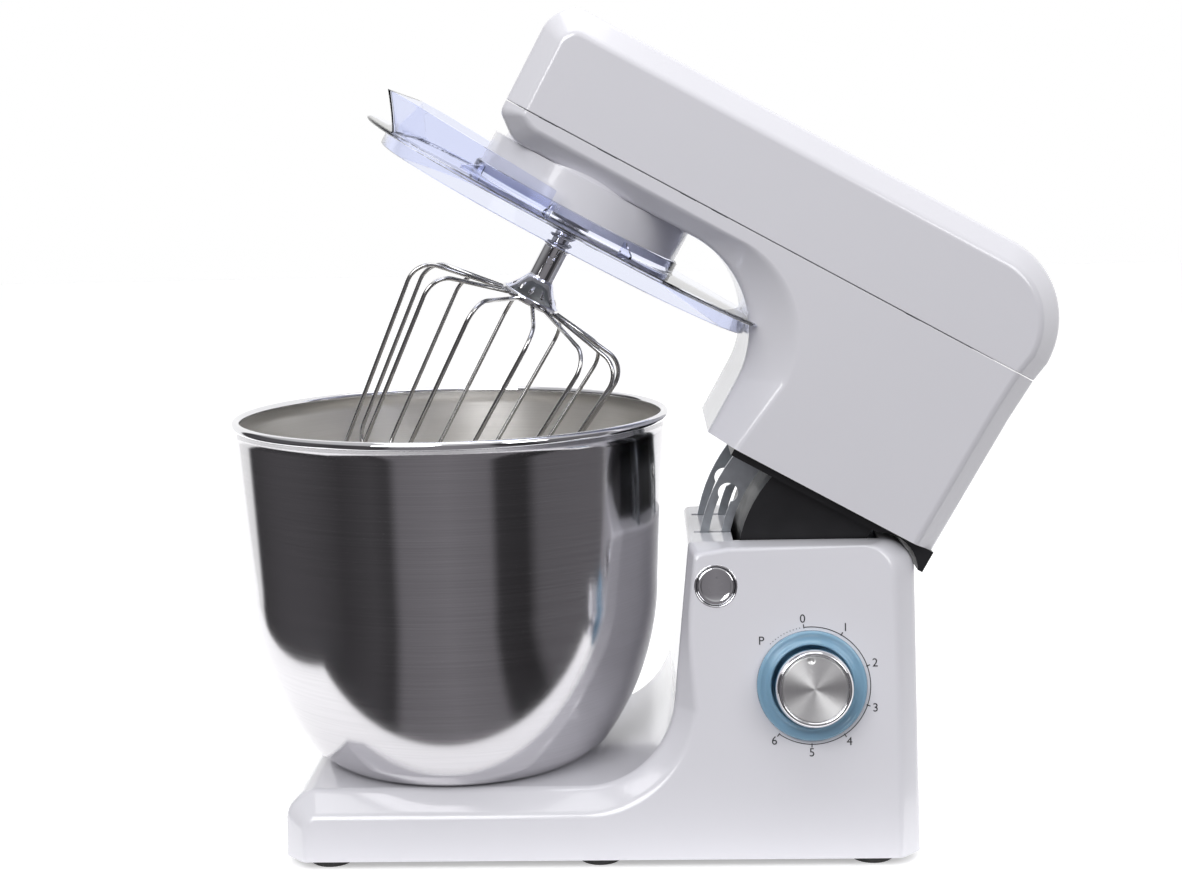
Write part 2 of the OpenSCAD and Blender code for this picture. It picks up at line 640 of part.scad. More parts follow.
// Steel arm with a curved slot that runs over the latch pin
module sector_arm(y) {
    end = latch_angle + tilt + 8;
    r0 = latch_r - arm_half;
    r1 = latch_r + arm_half;
    slot = latch_d / 2 + 0.35;
    y0 = y - arm_t / 2;
    y1 = y + arm_t / 2;
    color([0.55, 0.58, 0.6]) raised() difference() {
        union() {
            plate_xz(concat(arc(hinge_x, hinge_z, r1, 164, end, 14), arc(hinge_x, hinge_z, r0, end, 164, 14)), y0, y1);
            translate([hinge_x - r1 + 3.6, y0, neck_z - 3]) cube([30, arm_t, 11.6]);
        }
        intersection() {
            translate([0, y, 0]) difference() {
                along_y(-5, 5, hinge_x, hinge_z, latch_r + slot);
                along_y(-6, 6, hinge_x, hinge_z, latch_r - slot);
            }
            plate_xz([[hinge_x, hinge_z],
                [hinge_x + 200 * cos(latch_angle), hinge_z + 200 * sin(latch_angle)],
                [hinge_x + 200 * cos(latch_angle + tilt), hinge_z + 200 * sin(latch_angle + tilt)]], y0 - 1, y1 + 1);
        }
        for (a = [latch_angle, latch_angle + tilt])
            along_y(y0 - 1, y1 + 1, hinge_x + latch_r * cos(a), hinge_z + latch_r * sin(a), latch_d / 2 + 2.4);
        along_y(y0 - 1, y1 + 1, hinge_x - r1 + 26, neck_z + 9, 2.1);
    }
}

module near_sector_arm() { sector_arm(-arm_y); }
module far_sector_arm() { sector_arm(arm_y); }

// Steel bracket in the neck: an ear each side turns on the hinge pin
ear_rear = (neck_z + 7 - hinge_z) * tan(tilt) + 0.3;
ear_front = ear_rear + 18;

module hinge_bracket() {
    foot_z = neck_z + 4;
    color([0.55, 0.58, 0.6]) raised() difference() {
        union() {
            // the ears lean forward, so that they stand upright in the column's opening with the head raised
            for (s = [-1, 1]) translate([0, s * 30, 0]) {
                plate_xz([[hinge_x - 9, hinge_z], [hinge_x - ear_front, foot_z + 3], [hinge_x - ear_rear, foot_z + 3],
                    [hinge_x, hinge_z]], -2, 2);
                along_y(-2, 2, hinge_x, hinge_z, 10.5);
            }
            translate([hinge_x - 60, -34, foot_z]) cube([76, 68, 3]);
        }
        along_y(-60, 60, hinge_x, hinge_z, hinge_pin_d / 2 + run_fit);
    }
}

// ---------------------------------------------------------------- motor and belt

motor_x = hinge_x - 41;
motor_y0 = motor_d / 2;
motor_z0 = neck_z + 13;
motor_h = 66;
motor_shaft_d = 8;
main_teeth = 52;
lay_teeth = 14;
lay_x = bowl_x + main_module * (main_teeth + lay_teeth) / 2;
planet_teeth = orbit_r / planet_module;
ring_teeth = 3 * planet_teeth;
belt_z = under_z + 22;
belt_w = 10;
belt_t = 2;
motor_pulley_r = 9;
lay_pulley_r = 34;
frame_z = under_z + 5;
bridge_z = under_z + 54;
gear_z = belt_z + belt_w + 7;
lay_shaft_d = 10;
bearing_h = 5;

module motor_frame() {
    reach_y = motor_d / 2 - 3;
    color([0.6, 0.62, 0.65]) raised() translate([motor_x, 0, 0]) difference() {
        union() {
            for (z = [motor_z0 - 4, motor_z0 + motor_h]) translate([-reach_y - 4, -reach_y - 4, z])
                cube([2 * reach_y + 8, 2 * reach_y + 8, 3]);
            for (a = [45:90:315]) rotate([0, 0, a]) translate([reach_y * 1.36, 0, motor_z0 - 4])
                cylinder(h = motor_h + 6, r = 2.5);
        }
        translate([0, 0, neck_z]) cylinder(h = 100, r = motor_shaft_d / 2 + 3 + assembly_fit);
        // room for the heads of the screws under the frame
        for (s = [-1, 1]) {
            translate([hinge_x - 55 - motor_x, s * 27, motor_z0 - 5]) cylinder(h = 6, r = 3.6);
            translate([hinge_x - 5 - motor_x, s * 20, motor_z0 - 5]) cylinder(h = 6, r = 3.6);
        }
    }
}

module motor_stator() {
    color([0.45, 0.45, 0.48]) raised() translate([motor_x, 0, 0]) {
        ring(motor_d / 2 - 4, 22, motor_z0 + 12, motor_z0 + 52);
        for (z = [motor_z0 + 6, motor_z0 + 52 - eps]) ring(31, 23, z, z + 6 + eps);
    }
}

module motor_bushes() {
    color("goldenrod") raised() translate([motor_x, 0, 0]) for (z = [motor_z0 - 4, motor_z0 + motor_h - 1])
        ring(motor_shaft_d / 2 + 3, motor_shaft_d / 2 + run_fit, z, z + 4);
}

module motor_rotor() {
    color([0.7, 0.45, 0.25]) raised() translate([motor_x, 0, 0]) {
        translate([0, 0, motor_z0 - 6]) cylinder(h = belt_z + belt_w + 2 - motor_z0 + 6, r = motor_shaft_d / 2);
        translate([0, 0, motor_z0 + 12]) cylinder(h = 40, r = 20.5);
        translate([0, 0, motor_z0 + 2]) cylinder(h = 8, r = 10);
        translate([0, 0, motor_z0 + 59.5]) cylinder(h = 1.5, r = 30);
        for (a = [0:36:324]) rotate([0, 0, a]) translate([10, -0.6, motor_z0 + 60.9]) cube([19, 1.2, 3]);
    }
}

module pulley(r, bore) {
    difference() {
        union() {
            cylinder(h = belt_w, r = r);
            translate([0, 0, -1.5]) cylinder(h = 1.5 + eps, r = r + belt_t + 1);
            translate([0, 0, belt_w - eps]) cylinder(h = 1.5, r = r + belt_t + 1);
        }
        translate([0, 0, -5]) cylinder(h = belt_w + 10, r = bore);
    }
}

module motor_pulley() {
    color([0.75, 0.75, 0.78]) raised() translate([motor_x, 0, belt_z]) pulley(motor_pulley_r, motor_shaft_d / 2);
}

module drive_belt() {
    span = motor_x - lay_x;
    function loop(more) = let (ra = lay_pulley_r + more, rb = motor_pulley_r + more, p = 90 - asin((ra - rb) / span))
        concat(arc(lay_x, 0, ra, p, 360 - p, 24), arc(motor_x, 0, rb, -p, p, 12));
    color([0.1, 0.1, 0.1]) raised() translate([0, 0, belt_z + gap]) linear_extrude(belt_w - 2 * gap) difference() {
        polygon(loop(belt_t + gap));
        polygon(loop(gap + 0.2));
    }
}

module layshaft() {
    color("silver") raised() translate([lay_x, 0, 0])
        translate([0, 0, frame_z - 1]) cylinder(h = bridge_z - frame_z + 5, r = lay_shaft_d / 2);
}

module layshaft_pulley() {
    color([0.75, 0.75, 0.78]) raised() translate([lay_x, 0, belt_z]) difference() {
        pulley(lay_pulley_r, lay_shaft_d / 2);
        for (a = [0:60:300]) rotate([0, 0, a]) translate([lay_pulley_r * 0.58, 0, -5]) cylinder(h = 30, r = 6.5);
    }
}

tooth_w = 0.40;     // share of the pitch that a tooth takes

module layshaft_pinion() {
    color([0.7, 0.7, 0.72]) raised() translate([lay_x, 0, gear_z - 1]) rotate([0, 0, 180 - 180 / lay_teeth])
        difference() {
            linear_extrude(12) polygon(gear_points(lay_teeth, main_module, 0.85 * main_module, 1.2 * main_module, tooth_w));
            translate([0, 0, -1]) cylinder(h = 20, r = lay_shaft_d / 2);
        }
}

module gear_frame() {
    x0 = bowl_x - 40;
    color([0.62, 0.64, 0.66]) raised() difference() {
        union() {
            translate([x0, -42, frame_z]) cube([lay_x - x0 + 24, 84, 4]);
            for (y = [-38.5, 38.5], x = [x0 + 4, lay_x + 19]) translate([x, y, frame_z])
                cylinder(h = bridge_z - frame_z, r = 3.2);
        }
        translate([bowl_x, 0, frame_z - 5]) cylinder(h = 20, r = main_shaft_d / 2 + 5 + assembly_fit);
        translate([lay_x, 0, frame_z - 5]) cylinder(h = 20, r = lay_shaft_d / 2 + 3 + assembly_fit);
    }
}

module gear_bridge() {
    x0 = bowl_x - 40;
    color([0.62, 0.64, 0.66]) raised() difference() {
        translate([x0, -42, bridge_z + assembly_fit]) cube([lay_x - x0 + 24, 84, 4]);
        translate([bowl_x, 0, bridge_z - 5]) cylinder(h = 20, r = main_shaft_d / 2 + 5 + assembly_fit);
        translate([lay_x, 0, bridge_z - 5]) cylinder(h = 20, r = lay_shaft_d / 2 + 3 + assembly_fit);
    }
}

module shaft_bearings() {
    color([0.8, 0.8, 0.82]) raised() for (z = [frame_z - 0.5, bridge_z + assembly_fit]) {
        translate([bowl_x, 0, 0]) ring(main_shaft_d / 2 + 5, main_shaft_d / 2 + run_fit, z, z + bearing_h);
        translate([lay_x, 0, 0]) ring(lay_shaft_d / 2 + 3, lay_shaft_d / 2 + run_fit, z, z + bearing_h);
    }
}

// ---------------------------------------------------------------- planetary drive

drum_z = under_z - 22;
ring_z = drum_z + 9;
ring_h = 8;
ring_r = ring_teeth * planet_module / 2;

module gear_housing() {
    r = drum_d / 2;
    color("white") raised() translate([bowl_x, 0, 0]) {
        ring(r, r - wall, drum_z, under_z - assembly_fit);
        ring(r - 6 - assembly_fit, r - 6 - wall, under_z - 3, under_z + wall);
        ring(r - wall + eps, main_shaft_d / 2 + 6, under_z - 3, under_z - assembly_fit);
    }
}

module ring_gear() {
    color([0.6, 0.6, 0.62]) raised() translate([bowl_x, 0, ring_z]) rotate([0, 0, -90]) difference() {
        cylinder(h = ring_h, r = drum_d / 2 - wall - assembly_fit);
        translate([0, 0, -1]) linear_extrude(ring_h + 2)
            polygon(gear_points(ring_teeth, planet_module, 1.25 * planet_module, 0.8 * planet_module, 1 - tooth_w - 0.02));
    }
}

module planet_carrier() {
    r = ring_r + 5;
    color([0.75, 0.75, 0.78]) raised() translate([bowl_x, 0, 0]) difference() {
        union() {
            translate([0, 0, drum_z + 1]) cylinder(h = ring_z - drum_z - 2, r = r);
            translate([0, -orbit_r, drum_z - 5]) cylinder(h = 7, r = tool_shaft_d / 2 + 6);
            translate([0, 0, ring_z - 2]) cylinder(h = 3, r = main_shaft_d / 2 + 3);
            translate([0, 0, drum_z + 3]) cylinder(h = bridge_z + 6 - drum_z - 3, r = main_shaft_d / 2);
        }
        translate([0, -orbit_r, drum_z - 10]) cylinder(h = 40, r = tool_shaft_d / 2 + run_fit);
    }
}

module main_gear() {
    color([0.85, 0.8, 0.6]) raised() translate([bowl_x, 0, gear_z]) difference() {
        linear_extrude(10) polygon(gear_points(main_teeth, main_module, 0.85 * main_module, 1.2 * main_module, tooth_w));
        translate([0, 0, -1]) cylinder(h = 20, r = main_shaft_d / 2);
    }
}

module at_tool() {
    raised() translate([bowl_x, -orbit_r, 0]) children();
}

module planet_pinion() {
    color([0.7, 0.7, 0.72]) at_tool() translate([0, 0, ring_z + 0.5]) rotate([0, 0, -90]) difference() {
        linear_extrude(ring_h - 1)
            polygon(gear_points(planet_teeth, planet_module, 0.8 * planet_module, 1.15 * planet_module, tooth_w));
        translate([0, 0, -1]) cylinder(h = 20, r = tool_shaft_d / 2);
    }
}

sleeve_top = drum_z - 18;
sleeve_low = sleeve_top - 19;
cone_low = sleeve_low - 10;
hub_low = cone_low - 4;
sleeve_r = tool_shaft_d / 2 + 2.2;
hub_r = 16.5;
bayonet_z = sleeve_top - 7;

tool_pin_r = 1.8;

module tool_shaft() {
    color("silver") at_tool() difference() {
        translate([0, 0, sleeve_low + 1]) cylinder(h = ring_z + ring_h + 2 - sleeve_low - 1, r = tool_shaft_d / 2);
        along_y(-tool_shaft_d, tool_shaft_d, 0, bayonet_z, tool_pin_r + run_fit);
    }
}

module tool_pin() {
    color("silver") at_tool() along_y(-sleeve_r - 2.5, sleeve_r + 2.5, 0, bayonet_z, tool_pin_r);
}

module tool_spring() {
    color("silver") at_tool() {
        translate([0, 0, sleeve_top + 1.6]) coil(tool_shaft_d / 2 + 1.3, 1.4, drum_z - 5.3 - sleeve_top - 1.6, 4);
        ring(tool_shaft_d / 2 + 3, tool_shaft_d / 2 + run_fit, sleeve_top + 0.2, sleeve_top + 1.4);
    }
}

module whisk_hub() {
    color([0.85, 0.85, 0.87]) at_tool() difference() {
        union() {
            translate([0, 0, sleeve_low]) cylinder(h = sleeve_top - sleeve_low, r = sleeve_r);
            translate([0, 0, cone_low]) cylinder(h = sleeve_low - cone_low + eps, r1 = hub_r - 1, r2 = sleeve_r);
            translate([0, 0, hub_low]) cylinder(h = cone_low - hub_low + eps, r = hub_r);
        }
        translate([0, 0, sleeve_low]) cylinder(h = 30, r = tool_shaft_d / 2 + 0.1);
        // bayonet slot for the cross pin
        translate([-2.1, -20, bayonet_z]) cube([4.2, 40, 20]);
        along_y(-20, 20, 0, bayonet_z, 2.1);
    }
}

// One wire loop: out to the shoulder, down the side with a taper, and across the bottom
shoulder_drop = 6;
shoulder_r = 13;
taper = 6;
foot_r = 20;
module wire_loop(k) {
    r = wire_d / 2;
    inner = hub_r - 4;
    lean = atan(shoulder_drop / (whisk_r - shoulder_r - inner));
    cx = whisk_r - r - shoulder_r;
    cz = (hub_low + cone_low) / 2 - shoulder_drop - shoulder_r;
    fz = whisk_low + k * (wire_d + 0.1) + foot_r + r;
    fx = cx + shoulder_r * cos(taper) - foot_r * cos(taper)
        - (cz - shoulder_r * sin(taper) - fz + foot_r * sin(taper)) * tan(taper);
    half = concat([[inner, cz + shoulder_r * cos(lean) + (cx + shoulder_r * sin(lean) - inner) * tan(lean)]],
        arc(cx, cz, shoulder_r, 90 - lean, -taper, 6), arc(fx, fz, foot_r, -taper, -90, 6));
    m = len(half);
    path = concat(half, [for (i = [m - 1:-1:0]) [-half[i][0], half[i][1]]]);
    n = 2 * m;
    function across(i) = let (d = path[min(i + 1, n - 1)] - path[max(i - 1, 0)]) [-d[1], d[0]] / norm(d);
    points = [for (i = [0:n - 1]) for (j = [0:5]) let (u = r * cos(60 * j + 30) * across(i))
        [path[i][0] + u[0], r * sin(60 * j + 30), path[i][1] + u[1]]];
    sides = [for (i = [0:n - 2]) for (j = [0:5]) each let (a = 6 * i + j, b = 6 * i + (j + 1) % 6)
        [[b, b + 6, a + 6], [b, a + 6, a]]];
    polyhedron(points, concat(sides, [[5, 4, 3, 2, 1, 0], [for (j = [0:5]) 6 * n - 6 + j]]), convexity = 6);
}

module whisk_wires() {
    color([0.8, 0.8, 0.82]) at_tool() for (k = [0:loops - 1]) rotate([0, 0, 10 + 180 / loops * k]) wire_loop(k);
}

// ---------------------------------------------------------------- splash guard

guard_z = bowl_rim_z + rim_bead_d / 2 + gap;
collar_r = drum_d / 2 + slide_fit;
skirt_r = bowl_r - 7;
skirt_h = 8;
chute_y = collar_r + 11;
chute_x0 = bowl_x - sqrt(pow(guard_d / 2 - 1, 2) - pow(chute_y, 2));

module splash_guard() {
    t = guard_t;
    color([0.8, 0.85, 1, 0.4]) raised() difference() {
        union() {
            translate([bowl_x, 0, 0]) {
                ring(guard_d / 2, collar_r, guard_z, guard_z + t);
                ring(skirt_r, skirt_r - t, guard_z - skirt_h, guard_z + eps);
                ring(collar_r + t, collar_r, guard_z, drum_z + 12);
            }
            // side walls and flared front wall of the chute
            for (s = [-1, 1]) translate([chute_x0, s * chute_y - t / 2, guard_z]) cube([bowl_x - chute_x0, t, chute_h]);
            plate_xz([[chute_x0, guard_z], [chute_x0 + t, guard_z], [chute_x0 + t - 12, guard_z + chute_h],
                [chute_x0 - 12, guard_z + chute_h]], -chute_y - t / 2, chute_y + t / 2);
            for (s = [-1, 1]) plate_xz([[chute_x0 - 12, guard_z + chute_h], [chute_x0, guard_z],
                [chute_x0 + 2, guard_z], [chute_x0 + 2, guard_z + chute_h]], s * chute_y - t / 2, s * chute_y + t / 2);
        }
        // opening under the chute
        intersection() {
            translate([chute_x0 + 8, -chute_y + 8, guard_z - 2]) cube([60, 2 * chute_y - 16, 10]);
            translate([bowl_x, 0, guard_z - 2]) ring(skirt_r - 6, collar_r + t + 6, 0, 10);
        }
    }
}

// ---------------------------------------------------------------- small head pieces

module head_screws() {
    color("silver") raised() for (s = [-1, 1]) {
        translate([hinge_x - 55, s * 27, neck_z + 7 + assembly_fit]) cylinder(h = 2.5, r = 3);
        translate([hinge_x - 5, s * 20, neck_z + 7 + assembly_fit]) cylinder(h = 2.5, r = 3);
    }
}

// ---------------------------------------------------------------- every piece

base_shell();
bottom_plate();
feet();
base_screws();
bowl_seat();
hinge_pedestal();
hinge_pin();
latch_guide();
speed_switch();
control_board();
light_ring();
dial_scale();
button_bezel();
cord_gland();
speed_knob();
knob_cap();
release_button();
latch_pin();
button_spring();
bowl();
bowl_foot();
head_lower_shell();
head_top_cover();
neck_plate();
hinge_shroud();
near_sector_arm();
far_sector_arm();
hinge_bracket();
motor_frame();
motor_stator();
motor_bushes();
motor_rotor();
motor_pulley();
drive_belt();
layshaft();
layshaft_pulley();
layshaft_pinion();
gear_frame();
gear_bridge();
shaft_bearings();
gear_housing();
ring_gear();
planet_carrier();
main_gear();
planet_pinion();
tool_shaft();
tool_pin();
tool_spring();
whisk_hub();
whisk_wires();
splash_guard();
head_screws();
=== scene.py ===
import json
import math
import bpy
import bmesh
import numpy as np
from mathutils import Matrix, Vector


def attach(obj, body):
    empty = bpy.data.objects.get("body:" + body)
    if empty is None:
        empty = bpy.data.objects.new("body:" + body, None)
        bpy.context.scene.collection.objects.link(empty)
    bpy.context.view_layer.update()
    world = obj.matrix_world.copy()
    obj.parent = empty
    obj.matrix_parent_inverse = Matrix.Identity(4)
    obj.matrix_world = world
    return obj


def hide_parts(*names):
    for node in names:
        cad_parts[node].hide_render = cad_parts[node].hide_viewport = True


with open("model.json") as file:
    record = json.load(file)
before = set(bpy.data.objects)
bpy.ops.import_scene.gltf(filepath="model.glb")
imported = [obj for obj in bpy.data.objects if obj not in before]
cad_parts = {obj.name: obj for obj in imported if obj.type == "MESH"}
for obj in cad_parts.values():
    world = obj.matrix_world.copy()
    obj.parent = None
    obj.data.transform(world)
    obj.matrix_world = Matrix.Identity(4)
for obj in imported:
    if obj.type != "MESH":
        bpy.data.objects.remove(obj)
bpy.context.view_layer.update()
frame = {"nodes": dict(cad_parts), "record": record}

# ------------------------------------------------------------------ sizes, in metres

BOWL_X = -0.100                     # axis of the bowl
HINGE = np.array([0.129, 0.0, 0.149])
TILT = math.radians(29)             # the raised head
LEAN = math.radians(10.4)           # the base's side walls
LEAN_TAN = math.tan(LEAN)
DECK = 0.0388                       # top of the base under the bowl
COLUMN_TOP = 0.165
WALL = 0.0025
BASE_BOTTOM = 0.005                 # where the side walls start
BASE_HALF_WIDTH = 0.0915            # at that height
KNOB = (BOWL_X + 0.192, 0.093)      # x and z of the knob's axis on the leaning wall
BUTTON = (0.0430, 0.1443)           # and of the button's
MIRROR_Y = np.array([1, -1, 1])


def side_y(z):
    """Half width of the base at height z: the side walls are planes that lean inwards."""
    return BASE_HALF_WIDTH - (z - BASE_BOTTOM) * LEAN_TAN


def raise_head(points):
    """Turns points of the level head about the hinge to the raised head."""
    c, s = math.cos(TILT), math.sin(TILT)
    d = np.asarray(points, float) - HINGE
    turned = [d[..., 0] * c + d[..., 2] * s, d[..., 1], -d[..., 0] * s + d[..., 2] * c]
    return np.stack(turned, -1) + HINGE


def at_bowl(points):
    """Moves points given about the bowl's axis to their place on the base."""
    return np.asarray(points, float) + np.array([BOWL_X, 0, 0])


def at_head(points):
    """Moves points given about the drive's axis to their place on the raised head."""
    return raise_head(at_bowl(points))


SIDE_RIGHT = np.array([1.0, 0.0, 0.0])
SIDE_UP = np.array([0.0, math.sin(LEAN), math.cos(LEAN)])
SIDE_OUT = np.array([0.0, -math.cos(LEAN), math.sin(LEAN)])


def on_wall(points, x, z):
    """Places points given as (right, up, out) on the leaning wall with the knob, about its point at x, z."""
    p = np.asarray(points, float)
    origin = np.array([x, -side_y(z), z])
    return origin + p[..., :1] * SIDE_RIGHT + p[..., 1:2] * SIDE_UP + p[..., 2:3] * SIDE_OUT


# ------------------------------------------------------------------ mesh helpers

def new_object(name, verts, faces):
    """An object in the scene with a mesh of the given points and faces."""
    mesh = bpy.data.meshes.new(name)
    mesh.from_pydata(np.asarray(verts, float).tolist(), [], faces)
    thing = bpy.data.objects.new(name, mesh)
    bpy.context.scene.collection.objects.link(thing)
    return thing


def new_piece(name, verts, faces, body, material, slot, smooth=True):
    """A piece of the given points and faces with one material. With a body it rides on it at once."""
    piece = new_object(name, verts, faces)
    mesh = piece.data
    mesh.validate(clean_customdata=False)
    mesh.update()
    if smooth:
        mesh.polygons.foreach_set("use_smooth", np.ones(len(mesh.polygons), bool))
    mesh.materials.append(material)
    if body:
        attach(piece, body)
    return piece


def grid_faces(rows, cols, close_rows=False, close_cols=False):
    """Quads of a grid of rows by cols points, row after row."""
    r = np.arange(rows if close_rows else rows - 1)
    c = np.arange(cols if close_cols else cols - 1)
    a, b = np.meshgrid(r, c, indexing="ij")
    a1, b1 = (a + 1) % rows, (b + 1) % cols
    quads = np.stack([a * cols + b, a * cols + b1, a1 * cols + b1, a1 * cols + b], -1)
    return quads.reshape(-1, 4).tolist()


def joined(parts):
    """Several (points, faces) as one: the faces of each count on from the points before them."""
    verts, faces, first = [], [], 0
    for v, f in parts:
        faces += [[i + first for i in face] for face in f]
        verts.append(np.asarray(v, float))
        first += len(v)
    return np.concatenate(verts), faces


def outward(piece):
    """Makes the faces of a closed piece point outwards, once points at one place are merged."""
    bm = bmesh.new()
    bm.from_mesh(piece.data)
    bmesh.ops.remove_doubles(bm, verts=bm.verts, dist=1e-7)
    bmesh.ops.recalc_face_normals(bm, faces=bm.faces)
    bm.to_mesh(piece.data)
    bm.free()
    piece.data.update()
    return piece


def move_points(mesh, place):
    """Puts every point of a mesh through place, which takes and gives an array of points."""
    co = np.empty(len(mesh.vertices) * 3)
    mesh.vertices.foreach_get("co", co)
    mesh.vertices.foreach_set("co", place(co.reshape(-1, 3)).ravel())
    mesh.update()


def lathe(profile, turns=96):
    """A profile of (radius, height) carried once round the Z axis. A radius of 0 is a pole."""
    profile = np.asarray(profile, float)
    a = np.linspace(0, 2 * np.pi, turns, endpoint=False)
    verts = np.stack([profile[:, None, 0] * np.cos(a), profile[:, None, 0] * np.sin(a),
                      np.repeat(profile[:, 1:2], turns, 1)], -1).reshape(-1, 3)
    return verts, grid_faces(len(profile), turns, close_cols=True)


def closed_lathe(profile, turns=96):
    """A closed profile carried round the Z axis, so that it makes a ring or a cup with a wall."""
    verts, _ = lathe(profile, turns)
    return verts, grid_faces(len(profile), turns, close_rows=True, close_cols=True)


def rod(radius, low, high, turns):
    """A round bar on the Z axis, from low to high: a lathe of its end, side and end."""
    return lathe([(0, low), (radius, low), (radius, high), (0, high)], turns)


def tube(path, radius, sides=12):
    """A round section carried along a path: each point's normal is the last one made square to the path."""
    path = np.asarray(path, float)
    n = len(path)
    tangent = np.vstack([path[1:], path[-1:]]) - np.vstack([path[:1], path[:-1]])
    tangent /= np.linalg.norm(tangent, axis=1, keepdims=True)
    start = np.cross(tangent[0], [0.31, 0.52, 0.79])    # any direction that the path doesn't take
    start /= np.linalg.norm(start)
    normals = [start]
    for t in tangent[1:]:
        u = normals[-1] - t * np.dot(normals[-1], t)
        normals.append(u / np.linalg.norm(u))
    normals = np.array(normals)
    binormals = np.cross(tangent, normals)
    a = np.linspace(0, 2 * np.pi, sides, endpoint=False)[:, None]
    section = np.cos(a) * normals[:, None] + np.sin(a) * binormals[:, None]
    faces = grid_faces(n, sides, close_cols=True)
    faces += [list(range(sides)), [(n - 1) * sides + k for k in range(sides - 1, -1, -1)]]
    return (path[:, None] + radius * section).reshape(-1, 3), faces


def arc(cx, cz, r, a0, a1, n):
    """Points of a circle round (cx, cz), in n equal steps from angle a0 to a1 in degrees."""
    a = np.radians(np.linspace(a0, a1, n + 1))
    return np.stack([cx + r * np.cos(a), cz + r * np.sin(a)], -1)


def filleted(points, radii, steps=5):
    """A polyline with rounded corners: a quadratic curve that leaves and joins the sides radius away."""
    points = np.asarray(points, float)
    out = []
    for k, p in enumerate(points):
        r = radii[k]
        if r <= 0 or k in (0, len(points) - 1):
            out.append(p[None])
            continue
        a, b = points[k - 1] - p, points[k + 1] - p
        la, lb = np.linalg.norm(a), np.linalg.norm(b)
        cut = min(r, 0.45 * la, 0.45 * lb)
        t = np.linspace(0, 1, steps)[:, None]
        out.append((1 - t) ** 2 * (p + a / la * cut) + 2 * t * (1 - t) * p + t ** 2 * (p + b / lb * cut))
    return np.concatenate(out)


CREASE = 0.012                      # nominal width of a casing's bevel, for the softness of its creases


def casing_rows(outer, inner, outer_y, side, soft):
    """Cross-sections of a casing, one column for each point of its two outlines: from inside the side
    wall, round the crease, over the bevel, round the second crease and across to the other side. Both
    creases are quadratic curves that start and end soft away."""
    along = inner - outer
    unit = along / np.maximum(np.linalg.norm(along, axis=1, keepdims=True), 1e-9)
    t = np.linspace(0, 1, 6)[:, None, None]

    def point(xz, y):
        return np.stack([xz[:, 0], y, xz[:, 1]], -1)

    deep = inner + unit * soft
    crease = point(inner, side(inner[:, 1]))
    edge = point(outer, outer_y(outer[:, 1]))
    flat = edge.copy()
    flat[:, 1] -= soft
    first = (1 - t) ** 2 * point(deep, side(deep[:, 1])) + 2 * t * (1 - t) * crease
    first = first + t ** 2 * (crease + (edge - crease) * (soft / CREASE))
    second = (1 - t) ** 2 * (edge + (crease - edge) * (soft / CREASE)) + 2 * t * (1 - t) * edge
    second = second + t ** 2 * flat
    half = np.concatenate([first, second])
    return np.concatenate([half * MIRROR_Y, half[::-1]])


def casing(name, outer, inner, outer_y, side, gaps, soft):
    """A white plastic shell: cross-sections joined along the outlines, open at the bands in gaps, with
    flat sides, and a wall added inwards."""
    rows = casing_rows(outer, inner, outer_y, side, soft)
    m, n = rows.shape[:2]
    quads = [q for q in grid_faces(m, n, close_cols=True) if (q[0] % n) not in gaps]
    caps = [list(range(n)), [(m - 1) * n + k for k in range(n - 1, -1, -1)]]
    piece = new_piece(name, rows.reshape(-1, 3), quads + caps, None, WHITE, "white_plastic")
    outward(piece)
    solid = piece.modifiers.new("wall", "SOLIDIFY")
    solid.thickness = WALL
    solid.offset = -1
    solid.use_even_offset = False
    return piece


def cutter(verts, faces):
    """A closed shape that finish_shape takes out of a piece and then deletes."""
    return outward(new_object("cutter", verts, faces))


def box_cutter(lo, hi):
    """A box between two opposite corners, to cut with."""
    x0, y0, z0 = lo
    x1, y1, z1 = hi
    corners = [(x, y, z) for z in (z0, z1) for y in (y0, y1) for x in (x0, x1)]
    sides = [(0, 2, 3, 1), (4, 5, 7, 6), (0, 1, 5, 4), (2, 6, 7, 3), (0, 4, 6, 2), (1, 3, 7, 5)]
    return cutter(corners, sides)


def round_cutter(r, z0, z1, place, turns=64):
    """A rod from z0 to z1, put in its place, to cut with."""
    verts, faces = rod(r, z0, z1, turns)
    return cutter(place(verts), faces)


def finish_shape(piece, cuts=(), edge=0.0006, edge_angle=55):
    """Applies the wall and the cuts, softens the cut edges and makes the normals follow the large faces."""
    for tool in cuts:
        b = piece.modifiers.new("cut", "BOOLEAN")
        b.operation, b.object, b.solver = "DIFFERENCE", tool, "EXACT"
    bevel = piece.modifiers.new("edge", "BEVEL")
    bevel.width, bevel.segments, bevel.limit_method = edge, 2, "ANGLE"
    bevel.angle_limit = math.radians(edge_angle)
    bevel.use_clamp_overlap = True
    normals = piece.modifiers.new("normals", "WEIGHTED_NORMAL")
    normals.keep_sharp = False
    normals.weight = 80
    depsgraph = bpy.context.evaluated_depsgraph_get()
    mesh = bpy.data.meshes.new_from_object(piece.evaluated_get(depsgraph))
    piece.modifiers.clear()
    piece.data = mesh
    for tool in cuts:
        bpy.data.objects.remove(tool)
    return piece


def set_down(piece, body, slot, *nodes):
    """Puts a finished piece on its body, in place of the CAD nodes named. The slot is not used."""
    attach(piece, body)
    if nodes:
        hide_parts(*nodes)
    return piece


# ------------------------------------------------------------------ finishes

def node(tree, kind, **inputs):
    """Adds a shader node and sets its inputs, written with underscores for spaces."""
    made = tree.nodes.new("ShaderNode" + kind)
    for label, value in inputs.items():
        made.inputs[label.replace("_", " ")].default_value = value
    return made


